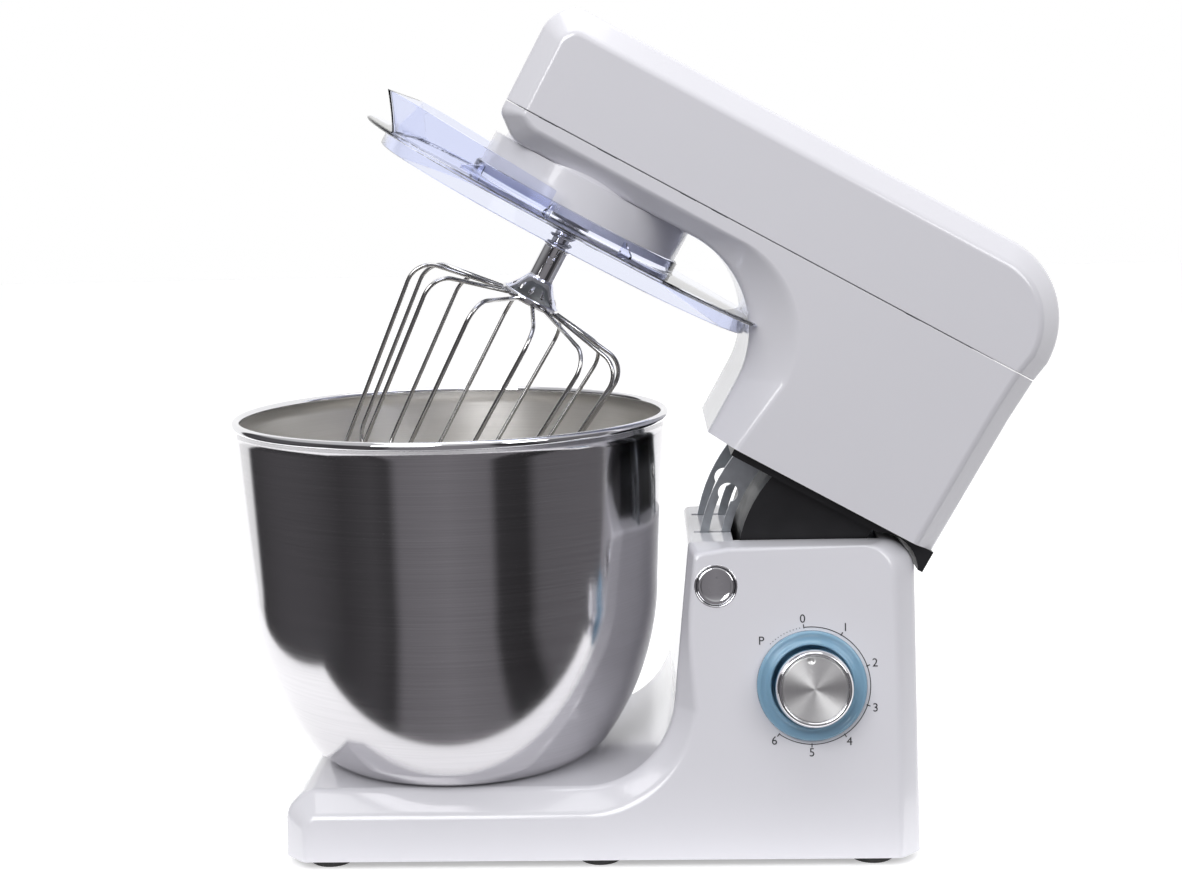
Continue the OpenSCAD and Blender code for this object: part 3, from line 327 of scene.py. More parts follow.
def color_mix(tree, share, dark, light):
    """A mix from one colour to another by a share between 0 and 1. Gives the colour's socket."""
    mix = node(tree, "Mix")
    mix.data_type = "RGBA"
    mix.inputs[6].default_value = (*dark, 1)
    mix.inputs[7].default_value = (*light, 1)
    tree.links.new(share, mix.inputs[0])
    return mix.outputs[2]


def darker(color, spread):
    """The colour times one less the spread."""
    return [max(0, c * (1 - spread)) for c in color]


def lighter(color, spread):
    """The colour times one plus the spread, up to white."""
    return [min(1, c * (1 + spread)) for c in color]


def rough_between(tree, bsdf, share, low, high):
    """Roughness from low to high by a share between 0 and 1."""
    r = node(tree, "MapRange", To_Min=low, To_Max=high)
    tree.links.new(share, r.inputs["Value"])
    tree.links.new(r.outputs[0], bsdf.inputs["Roughness"])


def raise_by(tree, bsdf, height, strength, depth):
    """Turns the normal as if the surface rose by the height, of strength times depth."""
    b = node(tree, "Bump", Strength=strength, Distance=depth)
    tree.links.new(height, b.inputs["Height"])
    tree.links.new(b.outputs[0], bsdf.inputs["Normal"])


def shader(name, color, rough, metallic=0.0, coat=0.0, transmission=0.0, ior=1.5):
    """A material of one colour, with its node tree and its shader node."""
    m = bpy.data.materials.new(name)
    m.use_nodes = True
    b = m.node_tree.nodes["Principled BSDF"]
    for label, value in (("Base Color", (*color, 1)), ("Roughness", rough), ("Metallic", metallic),
                         ("Coat Weight", coat), ("Coat Roughness", 0.04), ("IOR", ior),
                         ("Transmission Weight", transmission)):
        b.inputs[label].default_value = value
    m.diffuse_color = (*color, 1)
    return m, m.node_tree, b


def group_surface_variation():
    """Two noises: a broad one that shifts colour and roughness a little, and a fine one for the height."""
    g = bpy.data.node_groups.new("surface_variation", "ShaderNodeTree")
    for label, default in (("Scale", 60.0), ("Fine Scale", 900.0)):
        socket = g.interface.new_socket(label, in_out="INPUT", socket_type="NodeSocketFloat")
        socket.default_value = default
    for label in ("Broad", "Fine"):
        g.interface.new_socket(label, in_out="OUTPUT", socket_type="NodeSocketFloat")
    link = g.links.new
    inp, out = g.nodes.new("NodeGroupInput"), g.nodes.new("NodeGroupOutput")
    co = node(g, "TexCoord")
    for label, scale in (("Broad", "Scale"), ("Fine", "Fine Scale")):
        noise = node(g, "TexNoise", Detail=4.0)
        link(co.outputs["Object"], noise.inputs["Vector"])
        link(inp.outputs[scale], noise.inputs["Scale"])
        link(noise.outputs["Fac"], out.inputs[label])
    return g


def group_brushed():
    """Noise drawn out into fine lines, for brushed and spun metal: the noise at the place times Stretch."""
    g = bpy.data.node_groups.new("brushed_lines", "ShaderNodeTree")
    socket = g.interface.new_socket("Stretch", in_out="INPUT", socket_type="NodeSocketVector")
    socket.default_value = (1, 1, 1)
    g.interface.new_socket("Vector", in_out="INPUT", socket_type="NodeSocketVector")
    g.interface.new_socket("Lines", in_out="OUTPUT", socket_type="NodeSocketFloat")
    link = g.links.new
    inp, out = g.nodes.new("NodeGroupInput"), g.nodes.new("NodeGroupOutput")
    stretch = node(g, "VectorMath")
    stretch.operation = "MULTIPLY"
    noise = node(g, "TexNoise", Scale=1.0, Detail=5.0)
    link(inp.outputs["Vector"], stretch.inputs[0])
    link(inp.outputs["Stretch"], stretch.inputs[1])
    link(stretch.outputs[0], noise.inputs["Vector"])
    link(noise.outputs["Fac"], out.inputs["Lines"])
    return g


VARIATION = group_surface_variation()
BRUSHED = group_brushed()


def varied(name, color, rough, spread=0.04, rough_spread=0.05, scale=60.0, fine=900.0, bump=0.02,
           depth=0.0002, **base):
    """One colour, whose shade and roughness shift a little with the broad noise and whose height
    follows the fine one."""
    m, tree, bsdf = shader(name, color, rough, **base)
    g = node(tree, "Group")
    g.node_tree = VARIATION
    g.inputs["Scale"].default_value = scale
    g.inputs["Fine Scale"].default_value = fine
    shade = color_mix(tree, g.outputs["Broad"], darker(color, spread), lighter(color, spread))
    tree.links.new(shade, bsdf.inputs["Base Color"])
    rough_between(tree, bsdf, g.outputs["Broad"], max(0.0, rough - rough_spread), rough + rough_spread)
    if bump:
        raise_by(tree, bsdf, g.outputs["Fine"], bump, depth)
    return m


def brush(tree, bsdf, place, stretch, color, spread, bump):
    """Brush lines in colour and height, stretched over place. Gives the lines' socket."""
    g = node(tree, "Group")
    g.node_tree = BRUSHED
    g.inputs["Stretch"].default_value = stretch
    tree.links.new(place, g.inputs["Vector"])
    shade = color_mix(tree, g.outputs["Lines"], darker(color, spread), lighter(color, spread))
    tree.links.new(shade, bsdf.inputs["Base Color"])
    raise_by(tree, bsdf, g.outputs["Lines"], bump, 0.0001)
    return g.outputs["Lines"]


def shine_across(tree, bsdf, axis, amount):
    """Draws the highlights out across brush lines that go round an axis."""
    tangent = node(tree, "Tangent")
    tangent.direction_type, tangent.axis = "RADIAL", axis
    tree.links.new(tangent.outputs[0], bsdf.inputs["Tangent"])
    bsdf.inputs["Anisotropic"].default_value = amount
    bsdf.inputs["Anisotropic Rotation"].default_value = 0.25


def metal(name, color, rough, spread=0.06, bump=0.03):
    """Bare metal with a light broad variation and a very fine grain."""
    return varied(name, color, rough, spread=spread, rough_spread=rough * 0.3, scale=70.0, fine=1500.0,
                  bump=bump, depth=0.00005, metallic=1.0)


def turned_metal(name, color, rough, stretch, spread, bump):
    """Metal with brush lines round the vertical axis, which shift its roughness too."""
    m, tree, bsdf = shader(name, color, rough, metallic=1.0)
    lines = brush(tree, bsdf, node(tree, "TexCoord").outputs["Object"], stretch, color, spread, bump)
    rough_between(tree, bsdf, lines, rough * 0.7, rough * 1.35)
    shine_across(tree, bsdf, "Z", 0.6)
    return m


def spun_face():
    """Fine rings about the knob's axis: lines stretched over the face's own map of radius and angle."""
    color = (0.86, 0.86, 0.86)
    m, tree, bsdf = shader("spun_aluminium", color, 0.36, metallic=1.0)
    uv = node(tree, "UVMap")
    uv.uv_map = "rings"
    brush(tree, bsdf, uv.outputs[0], (260.0, 1.5, 1.0), color, spread=0.2, bump=0.35)
    shine_across(tree, bsdf, "Y", 0.8)
    return m


WHITE = varied("glossy_white_plastic", (0.765, 0.762, 0.808), 0.17, spread=0.012, rough_spread=0.03,
               scale=25.0, fine=1800.0, bump=0.03, depth=0.00005, coat=0.45)
BLACK = varied("black_moulded_plastic", (0.012, 0.012, 0.014), 0.36, spread=0.3, rough_spread=0.08,
               scale=80.0, fine=2200.0, bump=0.12, depth=0.0001)
RUBBER, BELT = (varied(name, (0.014, 0.014, 0.014), 0.62, spread=0.3, rough_spread=0.08, scale=120.0,
                       fine=2600.0, bump=0.2, depth=0.0001) for name in ("black_rubber", "belt_rubber"))
CLEAR = varied("clear_polycarbonate", (0.84, 0.865, 0.985), 0.025, spread=0.01, rough_spread=0.015,
               scale=18.0, fine=60.0, bump=0.02, depth=0.0002, transmission=1.0, ior=1.22)
CHROME = metal("polished_chrome", (0.82, 0.82, 0.84), 0.05, spread=0.02, bump=0.005)
STEEL = turned_metal("brushed_bowl_steel", (0.61, 0.60, 0.62), 0.13, (14.0, 14.0, 2600.0), 0.16, 0.03)
INNER_STEEL = turned_metal("satin_inner_steel", (0.86, 0.845, 0.82), 0.34, (20.0, 20.0, 1800.0), 0.08, 0.08)
WIRE = metal("polished_wire", (0.52, 0.515, 0.51), 0.13, spread=0.08, bump=0.01)
ZINC = varied("galvanised_steel", (0.50, 0.53, 0.56), 0.38, spread=0.18, rough_spread=0.1, scale=220.0,
              fine=1400.0, bump=0.08, depth=0.0001, metallic=1.0)
CAST = metal("die_cast_alloy", (0.48, 0.49, 0.5), 0.42, spread=0.12, bump=0.15)
BRONZE = metal("sintered_bronze", (0.52, 0.36, 0.17), 0.35, spread=0.15, bump=0.1)
SPUN = spun_face()
LIGHT = varied("pale_blue_light_plastic", (0.36, 0.62, 0.83), 0.12, spread=0.05, rough_spread=0.03,
               fine=500.0, bump=0.01, coat=0.5, transmission=0.35, ior=1.45)
INK = varied("printed_ink", (0.02, 0.02, 0.025), 0.5, spread=0.2, bump=0.0)
BOARD = varied("circuit_board_green", (0.02, 0.16, 0.07), 0.4, spread=0.25, scale=260.0, coat=0.3)
NYLON = varied("nylon_gear", (0.72, 0.68, 0.56), 0.45, spread=0.06, scale=90.0)

SLOT_FINISH = {"white_plastic": WHITE, "black_plastic": BLACK, "clear_plastic": CLEAR,
               "light_plastic": LIGHT, "polished_steel": STEEL, "chrome": CHROME, "spun_metal": CHROME,
               "zinc_steel": ZINC, "cast_alloy": CAST, "rubber": RUBBER, "belt_rubber": BELT,
               "bronze": BRONZE, "ink": INK, "board": BOARD, "gear_plastic": NYLON}
for part in frame["record"]["subparts"]:
    data = frame["nodes"][part["node"]].data
    data.materials.clear()
    data.materials.append(SLOT_FINISH[part["material_slot"]])

# ------------------------------------------------------------------ base casing

SWEEP_R = 0.0485                    # from the deck up into the column
SWEEP = np.array([BOWL_X + 0.1209 - SWEEP_R, DECK + SWEEP_R])
FRONT_LEAN = 5.9                    # of the column's front, in degrees
FRONT_SLOPE = math.tan(math.radians(FRONT_LEAN))
FRONT_TOP = (SWEEP[0] + SWEEP_R * math.cos(math.radians(FRONT_LEAN))
             + (COLUMN_TOP - SWEEP[1] + SWEEP_R * math.sin(math.radians(FRONT_LEAN))) * FRONT_SLOPE)
FRONT_BEND_Z = 0.122                # where the column's front starts to round
REAR = 0.148
REAR_R = 0.016
BASE_BEVEL = 0.011
COLUMN_DROP = 0.0012                # how far the column's top drops over its bevel
POCKET_FRONT, POCKET_Y = 0.0761, 0.0485     # the neck's pocket in the column's top, about the hinge
ARM_Y, ARM_SLOT = 0.025, 0.0023     # slots for the sector arms
SEAT_HOLE_R, RING_HOLE_R, BUTTON_HOLE_R = 0.0602, 0.0287, 0.0113


def base_outline(d):
    """The base seen from the side, drawn in by d: bench edge, deck, sweep, column, rounded rear corner."""
    c = 0.010 - d / 2
    x0 = BOWL_X - 0.086 + d
    share = d / BASE_BEVEL
    front = filleted([(x0, BASE_BOTTOM), (x0, DECK - d - c), (x0 + c, DECK - d), (SWEEP[0], DECK - d)],
                     [0, 0.005, 0.006, 0])
    sweep = arc(SWEEP[0], SWEEP[1], SWEEP_R + d, -90, -FRONT_LEAN, 30)[1:]
    column = filleted([sweep[-1],
                       (FRONT_TOP - (COLUMN_TOP - FRONT_BEND_Z) * FRONT_SLOPE + 0.003 * share, FRONT_BEND_Z),
                       (FRONT_TOP + 0.003 * share, COLUMN_TOP - 0.4 * d * share),
                       (0.05, COLUMN_TOP - COLUMN_DROP * share)], [0, 0.02, 0.003, 0])[1:]
    rear = arc(REAR - d - REAR_R, COLUMN_TOP - REAR_R, REAR_R - COLUMN_DROP * share, 90, 0, 14)
    return np.concatenate([front, sweep, column, rear, [(REAR - d, 0.10)], [(REAR - d, BASE_BOTTOM)]])


def base_casing():
    """Base and column in one shell, open below, with holes for the neck, arms, bowl seat, ring and button."""
    outer, inner = base_outline(0.0), base_outline(BASE_BEVEL)
    inner[:, 1] = np.maximum(inner[:, 1], BASE_BOTTOM)
    top = (inner[:, 1] > COLUMN_TOP - 0.010)
    inner[top, 1] = np.minimum(inner[top, 1], COLUMN_TOP - 0.0005)
    piece = casing("base_casing", outer, inner, lambda z: side_y(z) - BASE_BEVEL, side_y,
                   {len(outer) - 1}, soft=0.0024)
    low, high = COLUMN_TOP - 0.015, COLUMN_TOP + 0.025
    x = HINGE[0]
    cuts = [box_cutter((x - POCKET_FRONT, -POCKET_Y, low), (x + 0.001, POCKET_Y, high))]
    for y in (-ARM_Y, ARM_Y):
        cuts.append(box_cutter((x - POCKET_FRONT - 0.020, y - ARM_SLOT, low), (x - 0.07, y + ARM_SLOT, high)))
    cuts.append(round_cutter(SEAT_HOLE_R, 0.025, 0.06, at_bowl))
    cuts.append(round_cutter(RING_HOLE_R, -0.012, 0.012, lambda p: on_wall(p, *KNOB)))
    cuts.append(round_cutter(BUTTON_HOLE_R, -0.014, 0.012, lambda p: on_wall(p, *BUTTON)))
    finish_shape(piece, cuts)
    return set_down(piece, "base", "white_plastic", "base_shell")


base_casing()

# ------------------------------------------------------------------ head casing

UNDER, TOP, SEAM = 0.257, 0.332, 0.2735     # heights of the level head
NOSE = BOWL_X - 0.0575
TAIL = HINGE[0] + 0.0245
TAIL_R = 0.047
TAIL_SEAM = TAIL - 0.0018
NECK_FRONT = BOWL_X + 0.1153
NECK_REAR = HINGE[0] + 0.0205
NECK_Z = 0.171
NECK_R = 0.055                      # sweep from the neck to the underside
HEAD_Y = 0.062
BEVEL = 0.012
HOUSING_HOLE_R = 0.0529


def cover_outline(d):
    """Upper half of the head from the side, drawn in by d times the bevel, from the seam over the nose
    to the tail."""
    t, z = BEVEL * d, SEAM + 0.0005
    nose = filleted([(NOSE + t, z), (NOSE + t, TOP - 0.012 - t / 2), (NOSE + 0.0095 + 0.6 * t, TOP - t),
                     (0.06, TOP - t)], [0, 0.006, 0.006, 0])
    tail = arc(TAIL - TAIL_R, TOP - TAIL_R, TAIL_R - t, 90, 0, 28)
    return np.concatenate([nose, tail, [(TAIL_SEAM - t, z)]])


def lower_outline(d):
    """Lower half of the head from the side: seam, tail, neck and its sweep, underside and nose."""
    t = BEVEL * d
    rise = UNDER + t * 0.8
    tail = [(TAIL_SEAM - t, SEAM), (TAIL_SEAM - 0.0013 - t, 0.25), (NECK_REAR - t, NECK_Z)]
    sweep = arc(NECK_FRONT - NECK_R + 0.0215 * d, rise - NECK_R, NECK_R, 0, 90, 30)
    nose = filleted([sweep[-1], (NOSE + 0.0125 + 0.6 * t, rise), (NOSE + t, UNDER + 0.010 + t * 0.3),
                     (NOSE + t, SEAM)], [0, 0.005, 0.0035, 0])[1:]
    return np.concatenate([tail, [(NECK_FRONT + 0.0157 * d, NECK_Z)], sweep, nose])


def half_width(z):
    """Half width of the head, the same at every height z."""
    return np.full_like(np.asarray(z, float), HEAD_Y)


def head_casing():
    """Cover and body of the head, each open along the seam, and the body open at the neck and housing."""
    for name, line, seat in (("head_cover", cover_outline, "head_top_cover"),
                             ("head_body", lower_outline, "head_lower_shell")):
        outer, inner = line(0.0), line(1.0)
        last = len(outer) - 1
        body = name == "head_body"
        piece = casing(name, outer, inner, lambda z: half_width(z) - BEVEL, half_width,
                       {last, 2} if body else {last}, soft=0.0022)
        cuts = [round_cutter(HOUSING_HOLE_R, UNDER - 0.01, UNDER + 0.02, at_bowl, 96)] if body else []
        finish_shape(piece, cuts, edge=0.0005)
        move_points(piece.data, raise_head)
        set_down(piece, "head", "white_plastic", seat)


head_casing()

# ------------------------------------------------------------------ bowl

BOWL_R, RIM_Z, RIM_BEAD = 0.1177, 0.228, 0.0023
BOWL_WALL = 0.001
BOWL_FOOT = DECK + 0.0004
FLAT_R, CORNER_R = 0.070, 0.012     # the flat bottom and the corner round it
SIDE_R, SIDE_TOP = 0.156, BOWL_FOOT + 0.098     # the long arc, which ends upright at SIDE_TOP


def bowl_side(t):
    """The bowl's wall, t inside its outer surface: a corner arc above the flat, then one long arc."""
    side_cx = BOWL_R - 0.0045 - SIDE_R
    a = math.degrees(math.atan2(BOWL_FOOT + CORNER_R - SIDE_TOP, FLAT_R + 0.004 - side_cx))
    corner = arc(FLAT_R, BOWL_FOOT + CORNER_R, CORNER_R - t, -90, a - 4, 14)
    side = arc(side_cx, SIDE_TOP, SIDE_R - t, a + 1.5, 0, 44)
    return np.concatenate([[(FLAT_R - 0.006, BOWL_FOOT + t)], corner, side])


def bowl_shell():
    """Outer wall, straight upper part, beaded rim and inner wall carried round the axis. Faces that
    look at the axis or up from the floor are satin, and the rim is polished."""
    outer, inner = bowl_side(0.0), bowl_side(BOWL_WALL)
    upper = np.linspace(outer[-1], (BOWL_R, RIM_Z - 0.001), 14)[1:]
    bead = arc(BOWL_R + 0.0001, RIM_Z, RIM_BEAD, -60, 200, 18)
    profile = np.concatenate([[(0, outer[0, 1])], outer, upper, bead, upper[::-1] - (BOWL_WALL, 0),
                              inner[::-1], [(0, inner[0, 1])]])
    verts, faces = lathe(profile, 192)
    piece = new_piece("bowl_shell", at_bowl(verts), faces, "bowl", STEEL, "polished_steel")
    outward(piece)
    polygons = piece.data.polygons
    piece.data.materials.append(INNER_STEEL)
    piece.data.materials.append(CHROME)
    centre, normal = np.empty(len(polygons) * 3), np.empty(len(polygons) * 3)
    polygons.foreach_get("center", centre)
    polygons.foreach_get("normal", normal)
    normal = normal.reshape(-1, 3)
    radial = centre.reshape(-1, 3) - np.array([BOWL_X, 0, 0])
    inward = (radial[:, 0] * normal[:, 0] + radial[:, 1] * normal[:, 1]) < 0
    floor = (normal[:, 2] > 0.5) & (np.hypot(radial[:, 0], radial[:, 1]) < 0.1)
    index = np.where(inward | floor, 1, 0)
    index[radial[:, 2] > RIM_Z - 0.0016] = 2
    polygons.foreach_set("material_index", index.astype(np.int32))
    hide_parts("bowl")
    return piece


bowl_shell()

# ------------------------------------------------------------------ whisk

ORBIT = 0.021                       # from the drive's axis to the tool's
SLEEVE_TOP, SLEEVE_LOW, CONE_LOW, HUB_LOW = 0.217, 0.198, 0.188, 0.184
WIRE_R, WIRE_SEAT_R = 0.00115, 0.0128
SHAFT_R, SLEEVE_R, PIN_R = 0.00515, 0.0072, 0.0021


def at_tool(points):
    """Moves points given about the tool's axis to their place on the raised head."""
    return raise_head(np.asarray(points, float) + np.array([BOWL_X, -ORBIT, 0]))


def wire_path(k):
    """One loop in its own plane: out to the shoulder, down a tapered side, and across the bottom. Loop k
    ends k steps higher, so that the loops pass over each other."""
    drop, shoulder, taper, foot = 0.006, 0.013, math.radians(6), 0.020
    start, reach = 0.0125, 0.064
    lean = math.atan(drop / (reach - shoulder - start))
    cx = reach - WIRE_R - shoulder
    cz = (HUB_LOW + CONE_LOW) / 2 - drop - shoulder
    fz = 0.050 + k * 0.0024 + foot + WIRE_R
    side = cz - shoulder * math.sin(taper) - fz + foot * math.sin(taper)
    fx = cx + (shoulder - foot) * math.cos(taper) - side * math.tan(taper)
    z0 = cz + shoulder * math.cos(lean) + (cx + shoulder * math.sin(lean) - start) * math.tan(lean)
    half = np.concatenate([[(start, z0)], arc(cx, cz, shoulder, 90 - math.degrees(lean), -6, 16),
                           arc(fx, fz, foot, -6, -90, 14)])
    return np.concatenate([half, half[::-1] * np.array([-1, 1])])


def whisk_loops():
    """Six wire loops, each 30 degrees further round the tool's axis than the one before."""
    loops = []
    for k in range(6):
        p = wire_path(k)
        a = math.radians(10 + 30 * k)
        path = np.stack([p[:, 0] * math.cos(a), p[:, 0] * math.sin(a), p[:, 1]], -1)
        loops.append(tube(at_tool(path), WIRE_R, 14))
    piece = new_piece("whisk_loops", *joined(loops), "tool", WIRE, "chrome")
    outward(piece)
    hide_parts("whisk_wires")


def whisk_socket():
    """The hub: disc, cone and sleeve turned in one profile, with a slot for the cross pin and a ring of
    small holes where the wires are seated."""
    disc_r = 0.0165
    profile = [(0, HUB_LOW), (disc_r - 0.0023, HUB_LOW), (disc_r - 0.0007, HUB_LOW + 0.0004),
               (disc_r, HUB_LOW + 0.0012), (disc_r, CONE_LOW - 0.0008), (0.0160, CONE_LOW + 0.0003),
               (0.0150, CONE_LOW + 0.0006), (0.0128, CONE_LOW + 0.0032), (0.0100, CONE_LOW + 0.0066),
               (0.0082, SLEEVE_LOW - 0.0004), (0.0074, SLEEVE_LOW + 0.001), (SLEEVE_R, SLEEVE_LOW + 0.002),
               (SLEEVE_R, SLEEVE_TOP - 0.0006), (0.0067, SLEEVE_TOP), (SHAFT_R, SLEEVE_TOP),
               (SHAFT_R, SLEEVE_LOW + 0.0002), (0, SLEEVE_LOW + 0.0002)]
    hub = new_piece("whisk_socket", *lathe(profile, 64), None, CHROME, "chrome")
    outward(hub)
    pin_z = SLEEVE_TOP - 0.007
    cuts = [box_cutter((-PIN_R, -0.02, pin_z), (PIN_R, 0.02, pin_z + 0.018))]
    verts, faces = rod(PIN_R, -0.02, 0.02, 24)
    cuts.append(cutter(np.stack([verts[:, 0], verts[:, 2], verts[:, 1] + pin_z], -1), faces))
    for k in range(12):
        a = math.radians(25 + 30 * k)
        v, f = rod(0.0012, 0.0, 0.02, 12)
        seat = np.array([WIRE_SEAT_R * math.cos(a), WIRE_SEAT_R * math.sin(a), CONE_LOW - 0.001])
        cuts.append(cutter(v + seat, f))
    finish_shape(hub, cuts, edge=0.0002)
    move_points(hub.data, at_tool)
    set_down(hub, "tool", "chrome", "whisk_hub")


def shaft_spring():
    """Return spring on the tool shaft, a helix of three turns, and the washer that it stands on."""
    a = np.linspace(0, 2 * np.pi * 3.0, 120)
    height = np.linspace(SLEEVE_TOP + 0.0024, 0.2292, len(a))
    helix = np.stack([0.0063 * np.cos(a), 0.0063 * np.sin(a), height], -1)
    bore, rim = 0.00512, 0.0081
    low, high = SLEEVE_TOP + 0.0003, SLEEVE_TOP + 0.0014
    washer, faces = closed_lathe([(bore, low), (rim - 0.0002, low), (rim, low + 0.0002), (rim, high - 0.0002),
                                  (rim - 0.0002, high), (bore, high)], 48)
    parts = [tube(at_tool(helix), 0.0007, 10), (at_tool(washer), faces)]
    spring = new_piece("shaft_spring", *joined(parts), "tool", CHROME, "zinc_steel")
    outward(spring)
    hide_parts("tool_spring")


whisk_loops()
whisk_socket()
shaft_spring()

# ------------------------------------------------------------------ splash guard

GUARD_Z, GUARD_R, GUARD_T, SKIRT_R, COLLAR_R = 0.2307, 0.123, 0.002, 0.1107, 0.05925
CHUTE_Y = COLLAR_R + 0.011          # half width of the chute
CHUTE_X = -math.sqrt((GUARD_R - 0.001) ** 2 - CHUTE_Y ** 2)    # its front, where it meets the rim
CHUTE_H, CHUTE_CORNER, CHUTE_FLARE = 0.020, 0.008, 0.012


def guard_disc():
    """Disc with a turned-down skirt and a collar round the housing, with an opening under the chute."""
    t, z = GUARD_T, GUARD_Z
    ring = [(COLLAR_R, z), (SKIRT_R - t, z), (SKIRT_R - t + 0.0002, z - 0.0077),
            (SKIRT_R - 0.0008, z - 0.008), (SKIRT_R, z - 0.0074), (SKIRT_R, z - 0.0002),
            (SKIRT_R + 0.0006, z), (GUARD_R - 0.001, z),
            (GUARD_R, z + 0.0007), (GUARD_R, z + 0.0013), (GUARD_R - 0.001, z + t),
            (COLLAR_R + t + 0.001, z + t), (COLLAR_R + t, z + t + 0.001), (COLLAR_R + t, z + 0.0082),
            (COLLAR_R + 0.001, z + 0.0092), (COLLAR_R, z + 0.0082)]
    disc = new_piece("guard_disc", *closed_lathe(ring, 160), None, CLEAR, "clear_plastic")
    outward(disc)
    # the opening lies between two arcs, cut off beside the chute's walls
    a = np.radians(np.linspace(118, 242, 40))
    circle = np.stack([np.cos(a), np.sin(a)], -1)
    inner, outer = circle * (COLLAR_R + t + 0.006), circle * (SKIRT_R - 0.006)
    loop = np.concatenate([inner, outer[::-1]])
    loop[:, 1] = np.clip(loop[:, 1], -CHUTE_Y + 0.008, CHUTE_Y - 0.008)
    m = len(loop)
    verts = np.concatenate([np.column_stack([loop, np.full(m, z + rise)]) for rise in (-0.002, 0.006)])
    faces = [[k, (k + 1) % m, m + (k + 1) % m, m + k] for k in range(m)]
    faces += [list(range(m))[::-1], list(range(m, 2 * m))]
    return finish_shape(disc, [cutter(verts, faces)], edge=0.0004, edge_angle=60)


def guard_chute():
    """One U-shaped sheet, upright at its sides and flared at the front. The flare grows with the height
    to the power 1.15, and the top edge falls towards the rear."""
    t = GUARD_T
    bend_x = CHUTE_X + CHUTE_CORNER
    straight = [(x, CHUTE_Y) for x in np.linspace(-0.012, bend_x, 20)]
    bend = [(bend_x - CHUTE_CORNER * math.sin(b), CHUTE_Y - CHUTE_CORNER + CHUTE_CORNER * math.cos(b))
            for b in np.linspace(0, math.pi / 2, 9)[1:]]
    half = np.array(straight + bend)
    line = np.concatenate([half, half[::-1] * np.array([1, -1])])
    d = np.gradient(line, axis=0)
    out = np.stack([d[:, 1], -d[:, 0]], -1)
    out /= np.linalg.norm(out, axis=1, keepdims=True)
    out *= -np.sign(out[len(out) // 2, 0])
    front = np.clip((-line[:, 0] + bend_x) / CHUTE_CORNER, 0, 1)
    top = CHUTE_H - 0.006 * np.clip((line[:, 0] - CHUTE_X) / 0.1, 0, 1)
    share = np.linspace(0, 1, 9)[:, None]
    z = GUARD_Z + t * 0.5 + (top - t * 0.5) * share
    sheets = []
    for side in (0.0, -t):
        x = line[:, 0] + out[:, 0] * side - CHUTE_FLARE * front * share ** 1.15
        y = np.broadcast_to(line[:, 1] + out[:, 1] * side, x.shape)
        sheets.append(np.stack([x, y, z], -1))
    rows, cols = 2 * len(share), len(line)
    faces = grid_faces(rows, cols, close_rows=True)
    faces += [[r * cols for r in range(rows)], [r * cols + cols - 1 for r in range(rows)][::-1]]
    verts = np.concatenate([sheets[0], sheets[1][::-1]]).reshape(-1, 3)
    chute = new_piece("guard_chute", verts, faces, None, CLEAR, "clear_plastic")
    outward(chute)
    return finish_shape(chute, edge=0.0005, edge_angle=50)


def guard_ribs():
    """Small upright ribs between the collar and the disc: a five-sided outline in the plane through the
    axis, given a thickness."""
    foot = GUARD_Z + GUARD_T
    r0, r1 = COLLAR_R + GUARD_T - 0.0002, COLLAR_R + GUARD_T + 0.012
    outline = [(r0, foot - 0.0003), (r1, foot - 0.0003), (r1, foot + 0.001), (r0 + 0.001, foot + 0.0055),
               (r0, foot + 0.0055)]
    faces = [list(range(5)), list(range(9, 4, -1))]
    faces += [[k, 5 + k, 5 + (k + 1) % 5, (k + 1) % 5] for k in range(5)]
    parts = []
    for angle in (150, 210, 60, -60, 100, -100):
        a = math.radians(angle)
        e = np.array([math.cos(a), math.sin(a)])
        w = np.array([-e[1], e[0]]) * 0.0007
        parts.append(([(*(e * r + w * s), z) for s in (-1, 1) for r, z in outline], faces))
    ribs = new_piece("guard_ribs", *joined(parts), None, CLEAR, "clear_plastic", smooth=False)
    return outward(ribs)


def guard():
    """Disc, chute and ribs of the clear splash guard, put on the raised head."""
    pieces = [guard_disc(), guard_chute(), guard_ribs()]
    for piece in pieces:
        move_points(piece.data, at_head)
    disc, chute, ribs = pieces
    set_down(disc, "head", "clear_plastic", "splash_guard")
    set_down(chute, "head", "clear_plastic")
    set_down(ribs, "head", "clear_plastic")


guard()

# ------------------------------------------------------------------ speed knob, light ring and scale

KNOB_R, KNOB_OUT = 0.020, 0.020     # radius, and how far it stands out of the wall
FACE_R = KNOB_R - 0.0031
POINTER_R, POINTER_ANGLE = 0.0145, math.radians(97)


